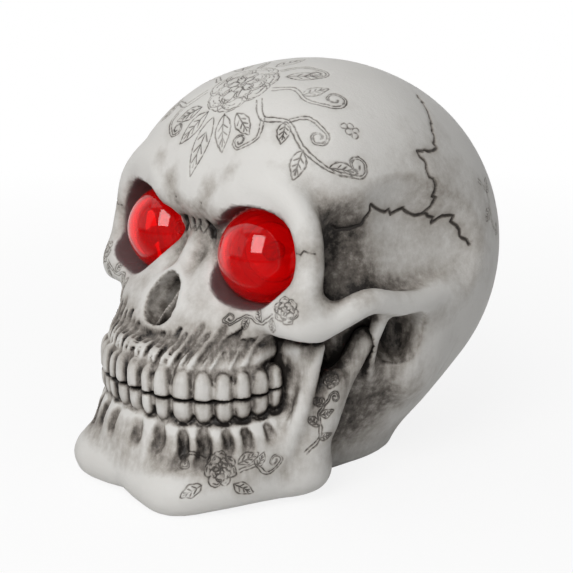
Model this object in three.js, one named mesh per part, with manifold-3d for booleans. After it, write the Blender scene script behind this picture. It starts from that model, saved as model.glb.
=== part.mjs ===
// Light-up resin skull ornament, in millimetres: +Z up, face towards -Y, floor at z = 0.
// A hollow casting carries a bonded lower jaw and two clear dome eyes with an LED behind each.
// A plate closes its underside, with a battery bay, a hinged cover and a slide switch.
import * as THREE from 'three';
import { mergeVertices } from 'three/addons/utils/BufferGeometryUtils.js';
import Module from 'manifold-3d';

const wasm = await Module();
wasm.setup();

// Clearance between pieces that touch
const GAP = 0.3;

// Overall size of the sculpted form, and the size at which its control points are written
const SKULL_WIDTH = 110.6;
const SKULL_LENGTH = 134.8;
const SKULL_HEIGHT = 118.4;
const FORM = new THREE.Vector3(110.6, 134.8, 118.4);
const SKIN_DETAIL = 12;
const SKIN_LEAN = new THREE.Vector3(0, -0.5, -0.1);

// Teeth: on each side of the middle, on an elliptical arch between these angles in degrees, meeting on
// a bite that is lowest near the front and curves up to both ends
const TOOTH_EDGES = [0, 9.7, 17.5, 27.3, 38.3, 48.4, 58, 66.7, 76];
const ARCH_CENTRE_Y = -30;
const ARCH_HALF_WIDTH = 33.5;
const ARCH_HALF_DEPTH = 29.5;
const BITE_HEIGHT = 31.7;
const BITE_LOW_Y = -56;
const BITE_RISE_FRONT = 0.05;
const BITE_RISE_REAR = 0.006;
const TOOTH_FULLNESS = 0.97;
const TOOTH_HALF_DEPTH = 2.6;
const UPPER_TOOTH_HALF = 5.6;
const LOWER_TOOTH_HALF = 5.2;
const UPPER_TOOTH_LIFT = 2.2;
const LOWER_TOOTH_DROP = 1.8;

// Slots between the roots of the lower teeth: angle on the arch, top and foot below the bite, and radius
const JAW_SLOTS = [[11, -10.4, -19.5, 1.6], [24, -10.6, -17.6, 1.8], [35.5, -10.4, -16.6, 1.5],
  [60, -10, -14.5, 1.3]];

// Seam between the skull and the bonded jaw
const JAW_CORE_INSET = 9;
const JAW_REAR_Y = -18;
const JAW_REAR_HALF_WIDTH = 27;
const JAW_BRANCH_INNER_X = 34;

// Hollow inside the casting
const HOLLOW_CENTRE = new THREE.Vector3(0, 16, 62);
const HOLLOW_SEMI = new THREE.Vector3(43, 40, 44);

// Eyes: the centre of each lens's rim on the form, and its outward turn in degrees
const EYE_X = 22.2;
const EYE_Y = -29.5;
const EYE_Z = 68.6;
const EYE_SPLAY = 20;
const LENS_RADIUS = 13;
const LENS_SKIRT = 3;
const LENS_WALL = 2;
const HOLDER_RADIUS = 8.7;
const HOLDER_LENGTH = 6;
const REFLECTOR_MOUTH_RADIUS = 7.5;
const REFLECTOR_DEPTH = 3.4;
const LED_RADIUS = 2.5;
const LED_LENGTH = 8.6;
const LED_FLANGE_RADIUS = 3;
const LED_FLANGE = 1;
const LED_LEAD = 0.5;
const LED_LEAD_LENGTH = 6;
const LED_LEAD_PITCH = 2.54;
const EYE_BORE_LENGTH = 24;

// Base plate in its rebate, on four screws
const PLATE_CENTRE_Y = -1;
const PLATE_SIDE_RIM = 2;
const PLATE_END_RIM = 3.15;
const BASE_RIM = 5;
const PLATE_THICKNESS = 3.2;
const PLATE_RECESS = 0.8;
const PLATE_POWER = 2.5;
const MOUTH_HEIGHT = 30;
const SCREW_X = 17;
const SCREW_Y = 12;
const SCREW_RADIUS = 1.1;
const SCREW_HEAD_RADIUS = 2.2;
const SCREW_HEAD = 1.4;
const SCREW_HEAD_RECESS = 0.15;
const SCREW_LENGTH = 9;
const SCREW_SLOT = 0.6;

// Battery bay: two cells side by side in a tub
const CELL_RADIUS = 5.25;
const CELL_LENGTH = 44.5;
const CELL_NUB_RADIUS = 1.9;
const CELL_NUB = 0.9;
const CELL_SPACING = 11.2;
const SPRING_ROOM = 3.3;
const TUB_WALL = 1.2;
const TUB_FLANGE = 1.6;
const CONTACT = 0.4;
const CONTACT_WIDTH = 9;
const CONTACT_HEIGHT = 8;
const TAB_WIDTH = 2;
const TAB_RISE = 3;
const SPRING_WIRE = 0.5;
const SPRING_TURNS = 2.25;
const SPRING_RADIUS = 3;
const SPRING_TIP_RADIUS = 2;

// Hinged cover of the bay
const COVER_THICKNESS = 2;
const COVER_SIDE_LAP = 0.6;
const COVER_OPENING = 100;
const BARREL_RADIUS = 1.25;
const PIN_RADIUS = 0.65;
const PIN_REACH = 2.4;
const NOTCH_RADIUS = 4;
const NOTCH_DEPTH = 1.6;

// Slide switch
const SWITCH_X = 17;
const SWITCH_WIDTH = 4.4;
const SWITCH_LENGTH = 9.4;
const SWITCH_HEIGHT = 5;
const SWITCH_WALL = 0.7;
const SLIDER_WIDTH = 2.4;
const SLIDER_LENGTH = 4.4;
const SLIDER_HEIGHT = 2.5;
const KNOB_WIDTH = 1.8;
const KNOB_LENGTH = 2.4;
const KNOB_DROP = 0.4;
const SWITCH_TRAVEL = 2;
const POCKET_HEIGHT = 21;

// Board, resistor and wires
const BOARD = new THREE.Vector3(18, 14, 1);
const BOARD_Y = -2;
const RESISTOR_RADIUS = 0.9;
const RESISTOR_LENGTH = 4;
const RESISTOR_PITCH = 7.6;
const WIRE_RADIUS = 0.6;
const WIRE_SIDES = 5;
const WIRE_STEPS = 12;
const PAD_PITCH = 3.2;
const WIRE_LIFT = 5;
const SHORT_WIRE_LIFT = 3;
const SWITCH_WIRE_LIFT = 6;
const LED_WIRE_RUN = 9;
const LEAD_ARCH = 4;

// Places that follow from the sizes above
const formScale = new THREE.Vector3(SKULL_WIDTH, SKULL_LENGTH, SKULL_HEIGHT).divide(FORM);
const onForm = (x, y, z) => new THREE.Vector3(x, y, z).multiply(formScale);
const plateTop = PLATE_RECESS + PLATE_THICKNESS;
const plateCentre = new THREE.Vector3(0, PLATE_CENTRE_Y, 0);
const tubBase = plateTop + GAP;
const tubInnerLength = CELL_LENGTH + SPRING_ROOM + 2 * (CONTACT + GAP) + GAP;
const tubInnerWidth = CELL_SPACING + 2 * (CELL_RADIUS + GAP);
const tubWidth = tubInnerWidth + 2 * TUB_WALL;
const tubLength = tubInnerLength + 2 * TUB_WALL;
const coverTop = PLATE_RECESS + COVER_THICKNESS;
const hingeZ = PLATE_RECESS + PLATE_THICKNESS / 2;
const cellZ = Math.max(coverTop + GAP, hingeZ + BARREL_RADIUS) + GAP + CELL_RADIUS;
const tubInnerTop = cellZ + CELL_RADIUS + GAP;
const tubTop = tubInnerTop + TUB_WALL;
const mouthWidth = tubWidth + 2 * (TUB_FLANGE + GAP);
const mouthLength = tubLength + 2 * GAP;
const bayWidth = tubInnerWidth + 2 * COVER_SIDE_LAP;
const bayFront = PLATE_CENTRE_Y - tubInnerLength / 2 - COVER_SIDE_LAP;
const bayRear = PLATE_CENTRE_Y + tubInnerLength / 2 + COVER_SIDE_LAP;
const pastUpright = THREE.MathUtils.degToRad(COVER_OPENING - 90);
const coverSwing = (hingeZ - PLATE_RECESS) * (1 + Math.sin(pastUpright)) / Math.cos(pastUpright);
const hingeY = bayFront + GAP + Math.max(BARREL_RADIUS, coverSwing);
const plateHalfWidth = SCREW_X + SCREW_HEAD_RADIUS + GAP + PLATE_SIDE_RIM;
const plateHalfLength = (bayRear - bayFront) / 2 + PLATE_END_RIM;
const boardTop = tubTop + GAP + BOARD.z;
const switchBase = plateTop + GAP;
const eyeCentre = onForm(EYE_X, EYE_Y, EYE_Z);

// Closed geometry of three.js made into a solid for joining and cutting
function solid(geometry) {
  const bare = geometry.clone();
  for (const name of ['normal', 'uv']) bare.deleteAttribute(name);
  const merged = mergeVertices(bare, 1e-4);
  const vertProperties = new Float32Array(merged.attributes.position.array);
  const triVerts = new Uint32Array(merged.index.array);
  return new wasm.Manifold(new wasm.Mesh({ numProp: 3, vertProperties, triVerts }));
}

function geometryOf(body) {
  const mesh = body.getMesh();
  const geometry = new THREE.BufferGeometry();
  geometry.setAttribute('position', new THREE.BufferAttribute(mesh.vertProperties, 3));
  geometry.setIndex(new THREE.BufferAttribute(mesh.triVerts, 1));
  geometry.computeVertexNormals();
  return geometry;
}

// The main body of a cut, without the crumbs that the cut leaves
function mainBody(body) {
  return body.decompose().reduce((a, b) => (a.volume() > b.volume() ? a : b));
}

function block(width, length, height, x, y, z) {
  return new THREE.BoxGeometry(width, length, height).translate(x, y, z + height / 2);
}

// Upright prism over an outline of [x, y] points
function prism(points, bottom, top) {
  const shape = new THREE.Shape(points.map(([x, y]) => new THREE.Vector2(x, y)));
  return new THREE.ExtrudeGeometry(shape, { depth: top - bottom, bevelEnabled: false })
    .translate(0, 0, bottom);
}

// Prism along X over an outline of [y, z] points
function sidePrism(points, from, to) {
  const along = new THREE.Matrix4().makeBasis(
    new THREE.Vector3(0, 1, 0), new THREE.Vector3(0, 0, 1), new THREE.Vector3(1, 0, 0));
  return prism(points, from, to).applyMatrix4(along);
}

// Turned solid about +Y from a profile of [radius, height] points that starts and ends on the axis
function turned(profile, sides) {
  const points = profile.map(([r, y]) => new THREE.Vector2(r, y));
  return new THREE.LatheGeometry(points, sides);
}

// Turned solid about +Z
function upright(profile, sides) {
  return turned(profile, sides).rotateX(Math.PI / 2);
}

function rod(radius, bottom, top, sides = 16) {
  return upright([[0, bottom], [radius, bottom], [radius, top], [0, top]], sides);
}

function roundedOutline(halfWidth, halfLength, power, centreY, count = 32) {
  return Array.from({ length: count }, (_, i) => {
    const a = (2 * Math.PI * i) / count;
    const c = Math.cos(a);
    const s = Math.sin(a);
    const x = halfWidth * Math.sign(c) * Math.abs(c) ** (2 / power);
    const y = halfLength * Math.sign(s) * Math.abs(s) ** (2 / power);
    return [x, centreY + y];
  });
}

// Outline grown outwards by a distance, for an outline that runs anticlockwise
function grown(points, distance) {
  const at = (i) => new THREE.Vector2(...points[(i + points.length) % points.length]);
  return points.map((_, i) => {
    const before = at(i).sub(at(i - 1)).normalize();
    const after = at(i + 1).sub(at(i)).normalize();
    const bisector = new THREE.Vector2(before.y + after.y, -before.x - after.x);
    const reach = (2 * distance) / bisector.lengthSq();
    return [at(i).x + bisector.x * reach, at(i).y + bisector.y * reach];
  });
}

// Distance to the sculpted form: rounded bodies joined and cut with soft creases
const blended = (a, b, k) => {
  const h = k > 0 ? Math.max(k - Math.abs(a - b), 0) / k : 0;
  return Math.min(a, b) - (h * h * k) / 4;
};

function ellipsoid(centre, semi, turn = 0, power = 2) {
  const c = Math.cos(THREE.MathUtils.degToRad(turn));
  const s = Math.sin(THREE.MathUtils.degToRad(turn));
  return (x, y, z) => {
    const dx = x - centre[0];
    const dy = y - centre[1];
    const u = Math.abs(c * dx + s * dy) / semi[0];
    const v = Math.abs(c * dy - s * dx) / semi[1];
    const w = Math.abs(z - centre[2]) / semi[2];
    const size = (u ** power + v ** power + w ** power) ** (1 / power);
    const steep = Math.hypot(u ** (power - 1) / semi[0], v ** (power - 1) / semi[1],
      w ** (power - 1) / semi[2]);
    return ((size - 1) * Math.max(size, 1e-6) ** (power - 1)) / Math.max(steep, 1e-6);
  };
}

function slab(centre, half) {
  return (x, y, z) => {
    const q = [x, y, z].map((v, i) => Math.abs(v - centre[i]) - half[i]);
    const outside = Math.hypot(...q.map((v) => Math.max(v, 0)));
    return outside + Math.min(Math.max(...q), 0);
  };
}

// Round bar along a smooth curve, from [x, y, z, radius] points
function bar(points, closed = false) {
  const curve = new THREE.CatmullRomCurve3(points.map((p) => new THREE.Vector3(...p)), closed, 'catmullrom');
  const spans = closed ? points.length : points.length - 1;
  const count = 4 * spans;
  const knots = Array.from({ length: count + 1 }, (_, i) => {
    const span = Math.min(Math.floor(i / 4), spans - 1);
    const r = THREE.MathUtils.lerp(points[span][3], points[(span + 1) % points.length][3], i / 4 - span);
    return { p: curve.getPoint(i / count), r };
  });
  return (x, y, z) => {
    let nearest = Infinity;
    for (let i = 0; i < count; i += 1) {
      const { p: a, r } = knots[i];
      const { p: b, r: rb } = knots[i + 1];
      const ex = b.x - a.x;
      const ey = b.y - a.y;
      const ez = b.z - a.z;
      const along = ((x - a.x) * ex + (y - a.y) * ey + (z - a.z) * ez) / (ex * ex + ey * ey + ez * ez);
      const t = Math.min(Math.max(along, 0), 1);
      const d = Math.hypot(x - a.x - t * ex, y - a.y - t * ey, z - a.z - t * ez) - r - t * (rb - r);
      nearest = Math.min(nearest, d);
    }
    return nearest;
  };
}

const joined = (a, b, k) => (x, y, z) => blended(a(x, y, z), b(x, y, z), k);

function archPoint(degrees, grow) {
  const a = THREE.MathUtils.degToRad(degrees);
  return [(ARCH_HALF_WIDTH + grow) * Math.sin(a), ARCH_CENTRE_Y - (ARCH_HALF_DEPTH + grow) * Math.cos(a)];
}

const biteRise = (y) => (y > BITE_LOW_Y ? BITE_RISE_REAR : BITE_RISE_FRONT);
const biteHeight = (y) => BITE_HEIGHT + biteRise(y) * (y - BITE_LOW_Y) ** 2;

// Wall under a row of teeth, a distance above or below the bite
function archWall(rise, grow, radius) {
  return bar([0, 15, 30, 45, 60, 75, 92].map((a) => {
    const [x, y] = archPoint(a, grow);
    return [x, y, biteHeight(y) + rise, radius];
  }));
}

// Ridge round the arch at one height, from [angle, distance out] points
function archBar(height, radius, points) {
  return bar(points.map(([a, grow]) => [...archPoint(a, grow), height, radius]));
}

// The form's bodies in the order in which they are joined (+) and cut (-), on its left half
const form = [
  // Braincase, with room cut for the face, forehead, base and brow
  ['+', ellipsoid([0, 12, 62], [52, 55, 55]), 0],
  ['-', slab([0, -58, 40], [70, 28, 40]), 8],
  ['+', ellipsoid([0, -2, 82], [43, 31, 32], 0, 2.6), 12],
  ['-', slab([0, -58, 30], [70, 32, 43]), 6],
  ['+', ellipsoid([0, PLATE_CENTRE_Y / formScale.y, 10], [(plateHalfWidth + BASE_RIM) / formScale.x,
    (plateHalfLength + BASE_RIM) / formScale.y, 26], 0, 2.5), 14],
  ['+', ellipsoid([0, 8, 26], [34, 33, 20]), 12],
  ['+', ellipsoid([21, -10, 82.5], [22, 27, 20], 0, 2.3), 7],
  ['+', ellipsoid([0, -22, 84], [12, 13.5, 14]), 6],
  ['+', slab([0, -33, 14], [20, 20, 20]), 4],
  // Hollow of the temple
  ['-', joined(ellipsoid([93, 2, 71], [49, 62, 41]), joined(ellipsoid([50.5, -20.5, 70], [12, 9, 18], 18),
    ellipsoid([57, -9, 79], [12.5, 19, 17], 10), 5), 9), 3],
  // Rim of the eye socket, upper jaw, cheekbone and bones of the nose
  ['+', bar([[5, -31, 76, 3.4], [12, -32.5, 82.5, 4.2], [21, -32, 88.5, 4.6], [31, -31, 88, 4.6],
    [39.5, -30.5, 81.5, 4.2], [43, -31, 71, 3.8], [42.2, -33, 61, 4.4], [35, -36.5, 55, 4.6],
    [26, -38, 53.2, 4], [16.5, -38, 55, 3.6], [11, -37.2, 60.5, 3], [6.8, -34, 68, 2.6]], true), 3],
  ['+', ellipsoid([0, -31, 47], [27, 19, 17], 0, 2.4), 8],
  ['+', ellipsoid([0, -27, 37.5], [29.5, 27, 9], 0, 2.6), 6],
  ['+', archWall(6.8, -3.6, 4.3), 4],
  ['+', ellipsoid([41, -33, 56], [8, 7, 7], 35), 4],
  ['+', bar([[0, -28, 78, 5], [0, -31, 73, 4.4], [0, -36, 67.5, 3.6], [0, -41.8, 61.6, 2.4]]), 3],
  // Mastoid and ear
  ['+', ellipsoid([41, 9, 40], [8, 10, 15], 15), 8],
  ['-', ellipsoid([54, -17, 47], [9.5, 13, 9]), 5],
  ['-', ellipsoid([51, -2.5, 45], [7.5, 6, 9.5]), 4],
  // Hollow of the cheek, and the upper jaw's slope down to the teeth
  ['-', ellipsoid([39, -32.5, 42.5], [10, 12, 8.3], 32), 3],
  ['+', archBar(46, 3, [[0, -11.5], [15, -9.3], [30, -7], [45, -5.4], [58, -4], [72, -3.2]]), 4],
  ['+', archBar(50.5, 3.4, [[20, -13], [34, -11], [48, -8.6], [60, -6], [72, -4]]), 4],
  ['+', archWall(9.6, -2.8, 3.3), 3],
  // Brow end and rim of the nose
  ['+', bar([[8.2, -34.6, 79.6, 2.2], [12, -36, 82.6, 2.2], [18, -36, 86.6, 1.6]]), 3],
  ['+', bar([[0, -43, 61.8, 1.7], [4, -43.6, 60, 1.5], [7, -45.4, 56.4, 1.5], [8.2, -47.2, 52.6, 1.6],
    [7, -49.2, 49, 1.7], [3.6, -50.6, 47, 1.8], [0, -51.4, 47.4, 1.9]]), 1.8],
  // Lower jaw: border, walls under the teeth and branch
  ['+', bar([[0, -59.7, 6.6, 6], [10.5, -60.8, 6, 6.4], [19.5, -59.6, 6, 6.9], [26, -51, 6.6, 6.2],
    [30, -40, 7, 6], [32.5, -31, 7.2, 6], [34.5, -25, 9, 6.2]]), 3],
  ['+', archWall(-18.7, -1.2, 6), 5],
  ['+', archWall(-14.2, -2.2, 5.4), 5],
  ['+', archWall(-9.7, -3, 4.6), 4],
  ['+', bar([[34.5, -26, 10, 6.6], [37.8, -25.5, 20, 5.6], [40.2, -24, 29, 4.6], [41.4, -23, 35, 3.8]]), 4],
];

// Bars that stand free of the skin: outer rim of the eye socket, cheek arch, and front and rear horn of the
// jaw's branch
const OUTER_RIM = {
  radius: 3.9,
  through: [[27, -30.6, 87.4], [34, -30.6, 86.4], [39.5, -30.5, 81.5], [43, -31, 71], [42.2, -33, 61],
    [37, -35.5, 56.5]],
};
const CHEEK_ARCH = {
  radius: 4.2,
  through: [[36, -33, 57], [42.5, -32.8, 55], [48, -27, 56], [51.2, -18, 58.6], [51.2, -9, 57.3],
    [49.5, 3, 55], [44, 16, 55]],
};
const FRONT_HORN = {
  radius: 2.4,
  through: [[32, -37, 10], [36, -34.4, 17], [39.6, -32.2, 26], [42, -30, 37], [43.2, -28, 48]],
};
const REAR_HORN = {
  radius: 3.6,
  through: [[36, -24.5, 18], [39.5, -20.5, 28], [42, -17, 38], [45, -12, 51]],
};

// Flat plate of the branch, behind the last tooth: size, centre and turn in degrees
const BRANCH_PLATE = new THREE.Vector3(15, 3.6, 25);
const BRANCH_PLATE_CENTRE = new THREE.Vector3(33.6, -30.8, 35);
const BRANCH_PLATE_TURN = 13;

// Eye socket in front of its lens: centre, half sizes, turn in degrees, and the groove at its inner corner
const SOCKET_CENTRE = new THREE.Vector3(25.7, -36, 69.9);
const SOCKET_HALF = new THREE.Vector3(14.3, 24, 13.4);
const SOCKET_TURN = 8;
const SOCKET_POWER = 2.3;
const SOCKET_START = 0.5;
const SOCKET_CORNER = { radius: 4.4, through: [[10.5, -50, 75], [13, -36, 73], [16, -26, 71]] };

// Opening of the nose: centre, half sizes and lean in degrees
const NOSE_CENTRE = new THREE.Vector3(0, -47, 54.4);
const NOSE_HALF = new THREE.Vector3(6.4, 7, 7.6);
const NOSE_LEAN = -31;

function formDistance(x, y, z) {
  return form.reduce((d, [sign, shape, k]) => {
    const s = shape(Math.abs(x), y, z);
    return sign === '+' ? blended(d, s, k) : -blended(-d, s, k);
  }, 1e3);
}

// Skin drawn in from a large ball onto the form, towards a point in its middle, finer on the face
function skin() {
  const inner = new THREE.Vector3(0, -6, 56);
  const start = 130;
  const ball = new THREE.IcosahedronGeometry(1, SKIN_DETAIL);
  for (const name of ['normal', 'uv']) ball.deleteAttribute(name);
  const geometry = mergeVertices(ball, 1e-5);
  const place = geometry.attributes.position;
  const ways = Array.from({ length: place.count }, (_, i) => (
    new THREE.Vector3().fromBufferAttribute(place, i).normalize().add(SKIN_LEAN).normalize()));
  const gapAt = (d, t) => formDistance(inner.x + d.x * t, inner.y + d.y * t, inner.z + d.z * t);
  ways.forEach((d, i) => {
    let t = start;
    for (let gap = gapAt(d, t); gap > 0.02 && t > 2; gap = gapAt(d, t)) t -= Math.max(0.04, 0.6 * gap);
    place.setXYZ(i, inner.x + d.x * t, inner.y + d.y * t, inner.z + d.z * t);
  });
  return geometry;
}

// Ball drawn out to half sizes, squarer than an ellipsoid for a power above 2
function squaredBall(half, power, around, rows) {
  const geometry = new THREE.SphereGeometry(1, around, rows).rotateX(Math.PI / 2);
  const place = geometry.attributes.position;
  const square = (v, s) => s * Math.sign(v) * Math.abs(v) ** (2 / power);
  for (let i = 0; i < place.count; i += 1) {
    const v = new THREE.Vector3().fromBufferAttribute(place, i);
    place.setXYZ(i, square(v.x, half.x), square(v.y, half.y), square(v.z, half.z));
  }
  return geometry;
}

function tooth(degrees, spread, halfHeight, rise) {
  const halfWidth = ARCH_HALF_DEPTH * Math.tan(THREE.MathUtils.degToRad(spread)) * TOOTH_FULLNESS;
  const [x, y] = archPoint(degrees, 0);
  return squaredBall(new THREE.Vector3(halfWidth, TOOTH_HALF_DEPTH, halfHeight), 2.8, 8, 4)
    .rotateZ(THREE.MathUtils.degToRad(degrees)).translate(x, y, biteHeight(y) + rise);
}

// Room of an eye socket, in front of the plane of its lens
function socketRoom(side) {
  const room = solid(squaredBall(SOCKET_HALF, SOCKET_POWER, 20, 12)
    .rotateZ(side * THREE.MathUtils.degToRad(SOCKET_TURN))
    .translate(side * SOCKET_CENTRE.x, SOCKET_CENTRE.y, SOCKET_CENTRE.z));
  const corner = solid(tubeAlong(SOCKET_CORNER.through.map(([x, y, z]) => new THREE.Vector3(side * x, y, z)),
    SOCKET_CORNER.radius, 4, 8));
  const reach = 60;
  const behind = solid(block(2 * reach, reach, 2 * reach, 0, -reach / 2, -reach).translate(0, SOCKET_START, 0)
    .rotateZ(Math.PI + side * THREE.MathUtils.degToRad(EYE_SPLAY)).translate(side * EYE_X, EYE_Y, EYE_Z));
  return room.add(corner).subtract(behind);
}

function noseRoom() {
  return solid(squaredBall(NOSE_HALF, 2.2, 14, 8).rotateX(THREE.MathUtils.degToRad(NOSE_LEAN))
    .translate(NOSE_CENTRE.x, NOSE_CENTRE.y, NOSE_CENTRE.z));
}

function freeBars() {
  const bars = [OUTER_RIM, CHEEK_ARCH, FRONT_HORN, REAR_HORN];
  return bars.flatMap(({ radius, through }) => [-1, 1].map((side) => (
    solid(tubeAlong(through.map(([x, y, z]) => new THREE.Vector3(side * x, y, z)), radius, 8, 7)))))
    .reduce((a, b) => a.add(b));
}

function branchPlates() {
  return [-1, 1].map((side) => solid(new THREE.BoxGeometry(BRANCH_PLATE.x, BRANCH_PLATE.y, BRANCH_PLATE.z)
    .rotateZ(side * THREE.MathUtils.degToRad(BRANCH_PLATE_TURN))
    .translate(side * BRANCH_PLATE_CENTRE.x, BRANCH_PLATE_CENTRE.y, BRANCH_PLATE_CENTRE.z)))
    .reduce((a, b) => a.add(b));
}

function teeth() {
  const row = [];
  TOOTH_EDGES.slice(1).forEach((edge, i) => {
    const spread = (edge - TOOTH_EDGES[i]) / 2;
    for (const side of [-1, 1]) {
      const degrees = side * (edge - spread);
      row.push(solid(tooth(degrees, spread, UPPER_TOOTH_HALF, UPPER_TOOTH_LIFT)));
      row.push(solid(tooth(degrees, spread, LOWER_TOOTH_HALF, -LOWER_TOOTH_DROP)));
    }
  });
  return row.reduce((a, b) => a.add(b));
}

function jawSlots() {
  return JAW_SLOTS.flatMap(([degrees, top, foot, radius]) => [-1, 1].map((side) => {
    const [x0, y0] = archPoint(side * degrees, 2.4);
    const [x1, y1] = archPoint(side * degrees, 5);
    const upper = new THREE.Vector3(x0, y0, biteHeight(y0) + top);
    const lower = new THREE.Vector3(x1, y1, biteHeight(y1) + foot);
    return solid(tubeAlong([upper, upper.clone().lerp(lower, 0.5), lower], radius, 2, 6));
  })).reduce((a, b) => a.add(b));
}

// Room that the jaw takes up: a band round the arch below the bite, and the two branches
function jawRoom(margin) {
  const reach = 80;
  const depth = ARCH_HALF_DEPTH - JAW_CORE_INSET - margin;
  const width = ARCH_HALF_WIDTH - JAW_CORE_INSET - margin;
  const rear = JAW_REAR_Y + margin;
  const core = Array.from({ length: 17 }, (_, i) => {
    const a = (Math.PI * i) / 16;
    return [width * Math.cos(a), ARCH_CENTRE_Y - depth * Math.sin(a)];
  });
  const rearX = JAW_REAR_HALF_WIDTH - margin;
  const band = solid(prism([[-reach, -reach], [reach, -reach], [reach, rear], [rearX, rear], ...core,
    [-rearX, rear], [-reach, rear]], -20, 60));
  const bitePath = [-reach, ...Array.from({ length: 9 }, (_, i) => (
    ARCH_CENTRE_Y - (ARCH_HALF_DEPTH + 3) * (1 - i / 8))), reach].map((y) => [y, biteHeight(
    THREE.MathUtils.clamp(y, ARCH_CENTRE_Y - ARCH_HALF_DEPTH - 3, ARCH_CENTRE_Y + 3)) + margin]);
  const above = sidePrism([...bitePath, [reach, 2 * reach], [-reach, 2 * reach]], -2 * reach, 2 * reach);
  const branch = grown([[-37, 16], [-14, 16], [-8, 42], [-7.5, 51.5], [-18, 51.5], [-22, 41], [-25, 41],
    [-26, 50], [-33, 50], [-36.5, 38]], margin);
  const inner = JAW_BRANCH_INNER_X - margin;
  return band.subtract(solid(above))
    .add(solid(sidePrism(branch, inner, reach)))
    .add(solid(sidePrism(branch, -reach, -inner)));
}

const formMatrix = new THREE.Matrix4().makeScale(formScale.x, formScale.y, formScale.z);
const scaled = (body) => solid(geometryOf(body).applyMatrix4(formMatrix));
const carved = [socketRoom(-1), socketRoom(1), noseRoom()].reduce((body, cut) => body.subtract(cut),
  solid(skin()).subtract(jawSlots()).add(freeBars()).add(branchPlates()));
const sculpture = scaled(carved.add(teeth()));
const underFloor = solid(block(400, 400, 60, 0, 0, -60));

// Turn from +Y to the direction in which an eye looks
const eyePose = (side) => new THREE.Matrix4()
  .makeRotationZ(Math.PI - side * THREE.MathUtils.degToRad(-EYE_SPLAY))
  .setPosition(side * eyeCentre.x, eyeCentre.y, eyeCentre.z);

const arc = (radius, from, to, count) => Array.from({ length: count + 1 }, (_, i) => {
  const a = from + ((to - from) * i) / count;
  return [radius * Math.cos(a), radius * Math.sin(a)];
});

// Seat of a lens and its holder, cut into the casting
function eyeSeat(side) {
  const r = LENS_RADIUS + GAP;
  const bore = HOLDER_RADIUS + GAP;
  const floor = -LENS_SKIRT - GAP;
  const dome = arc(r, 0, Math.PI / 2, 6).map(([x, y]) => [x, y + GAP]);
  dome[dome.length - 1][0] = 0;
  const profile = [[0, -EYE_BORE_LENGTH], [bore, -EYE_BORE_LENGTH], [bore, floor], [r, floor], ...dome];
  return solid(turned(profile, 24).applyMatrix4(eyePose(side)));
}

function screwHole(x, y) {
  return solid(rod(SCREW_RADIUS + GAP, 0, SCREW_HEAD_RECESS + PLATE_RECESS + SCREW_HEAD + SCREW_LENGTH + GAP)
    .translate(x, y, 0));
}

const screwPlaces = [[-1, -1], [1, -1], [1, 1], [-1, 1]]
  .map(([x, y]) => [x * SCREW_X, PLATE_CENTRE_Y + y * SCREW_Y]);

function skullCasting() {
  const hollow = solid(new THREE.SphereGeometry(1, 20, 12).rotateX(Math.PI / 2)
    .scale(HOLLOW_SEMI.x, HOLLOW_SEMI.y, HOLLOW_SEMI.z)
    .translate(HOLLOW_CENTRE.x, HOLLOW_CENTRE.y, HOLLOW_CENTRE.z).applyMatrix4(formMatrix));
  const mouth = solid(block(mouthWidth, mouthLength, MOUTH_HEIGHT, 0, PLATE_CENTRE_Y, 0));
  const rebate = solid(prism(roundedOutline(plateHalfWidth + GAP, plateHalfLength + GAP, PLATE_POWER,
    PLATE_CENTRE_Y), -1, plateTop + GAP));
  const pocketWidth = SWITCH_X + SWITCH_WIDTH / 2 + GAP;
  const pocket = solid(block(pocketWidth, SWITCH_LENGTH + 2 * GAP, POCKET_HEIGHT, pocketWidth / 2,
    PLATE_CENTRE_Y, 0));
  const cuts = [scaled(jawRoom(GAP)), underFloor, hollow, mouth, rebate, pocket, eyeSeat(-1), eyeSeat(1),
    ...screwPlaces.map(([x, y]) => screwHole(x, y))];
  return geometryOf(mainBody(cuts.reduce((body, cut) => body.subtract(cut), sculpture)));
}

function jawCasting() {
  return geometryOf(mainBody(sculpture.intersect(scaled(jawRoom(0))).subtract(underFloor)));
}

// Clear dome with a skirt that stands in the seat
function lens() {
  const inner = LENS_RADIUS - LENS_WALL;
  const outside = arc(LENS_RADIUS, Math.PI / 2, 0, 5);
  const inside = arc(inner, 0, Math.PI / 2, 4);
  outside[0][0] = 0;
  inside[inside.length - 1][0] = 0;
  return turned([...outside, [LENS_RADIUS, -LENS_SKIRT], [inner, -LENS_SKIRT], ...inside].reverse(), 18);
}

// Reflector cup with a hole for the LED
function ledHolder() {
  const front = -LENS_SKIRT - 2 * GAP;
  const back = front - HOLDER_LENGTH;
  const hole = LED_RADIUS + GAP;
  return turned([[hole, back], [HOLDER_RADIUS, back], [HOLDER_RADIUS, front], [REFLECTOR_MOUTH_RADIUS, front],
    [hole, front - REFLECTOR_DEPTH], [hole, back]], 20);
}

const ledBack = -LENS_SKIRT - 2 * GAP - HOLDER_LENGTH - GAP - LED_FLANGE;

function led() {
  const tip = ledBack + LED_FLANGE + LED_LENGTH;
  const dome = arc(LED_RADIUS, 0, Math.PI / 2, 4).map(([r, y]) => [r, tip - LED_RADIUS + y]);
  dome[dome.length - 1][0] = 0;
  const seat = ledBack + LED_FLANGE;
  const body = solid(turned([[0, ledBack], [LED_FLANGE_RADIUS, ledBack], [LED_FLANGE_RADIUS, seat],
    [LED_RADIUS, seat], ...dome], 14));
  const lead = (x) => solid(new THREE.BoxGeometry(LED_LEAD, LED_LEAD_LENGTH + LED_FLANGE, LED_LEAD)
    .translate(x, ledBack + (LED_FLANGE - LED_LEAD_LENGTH) / 2, 0));
  return geometryOf(body.add(lead(-LED_LEAD_PITCH / 2)).add(lead(LED_LEAD_PITCH / 2)));
}

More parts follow.
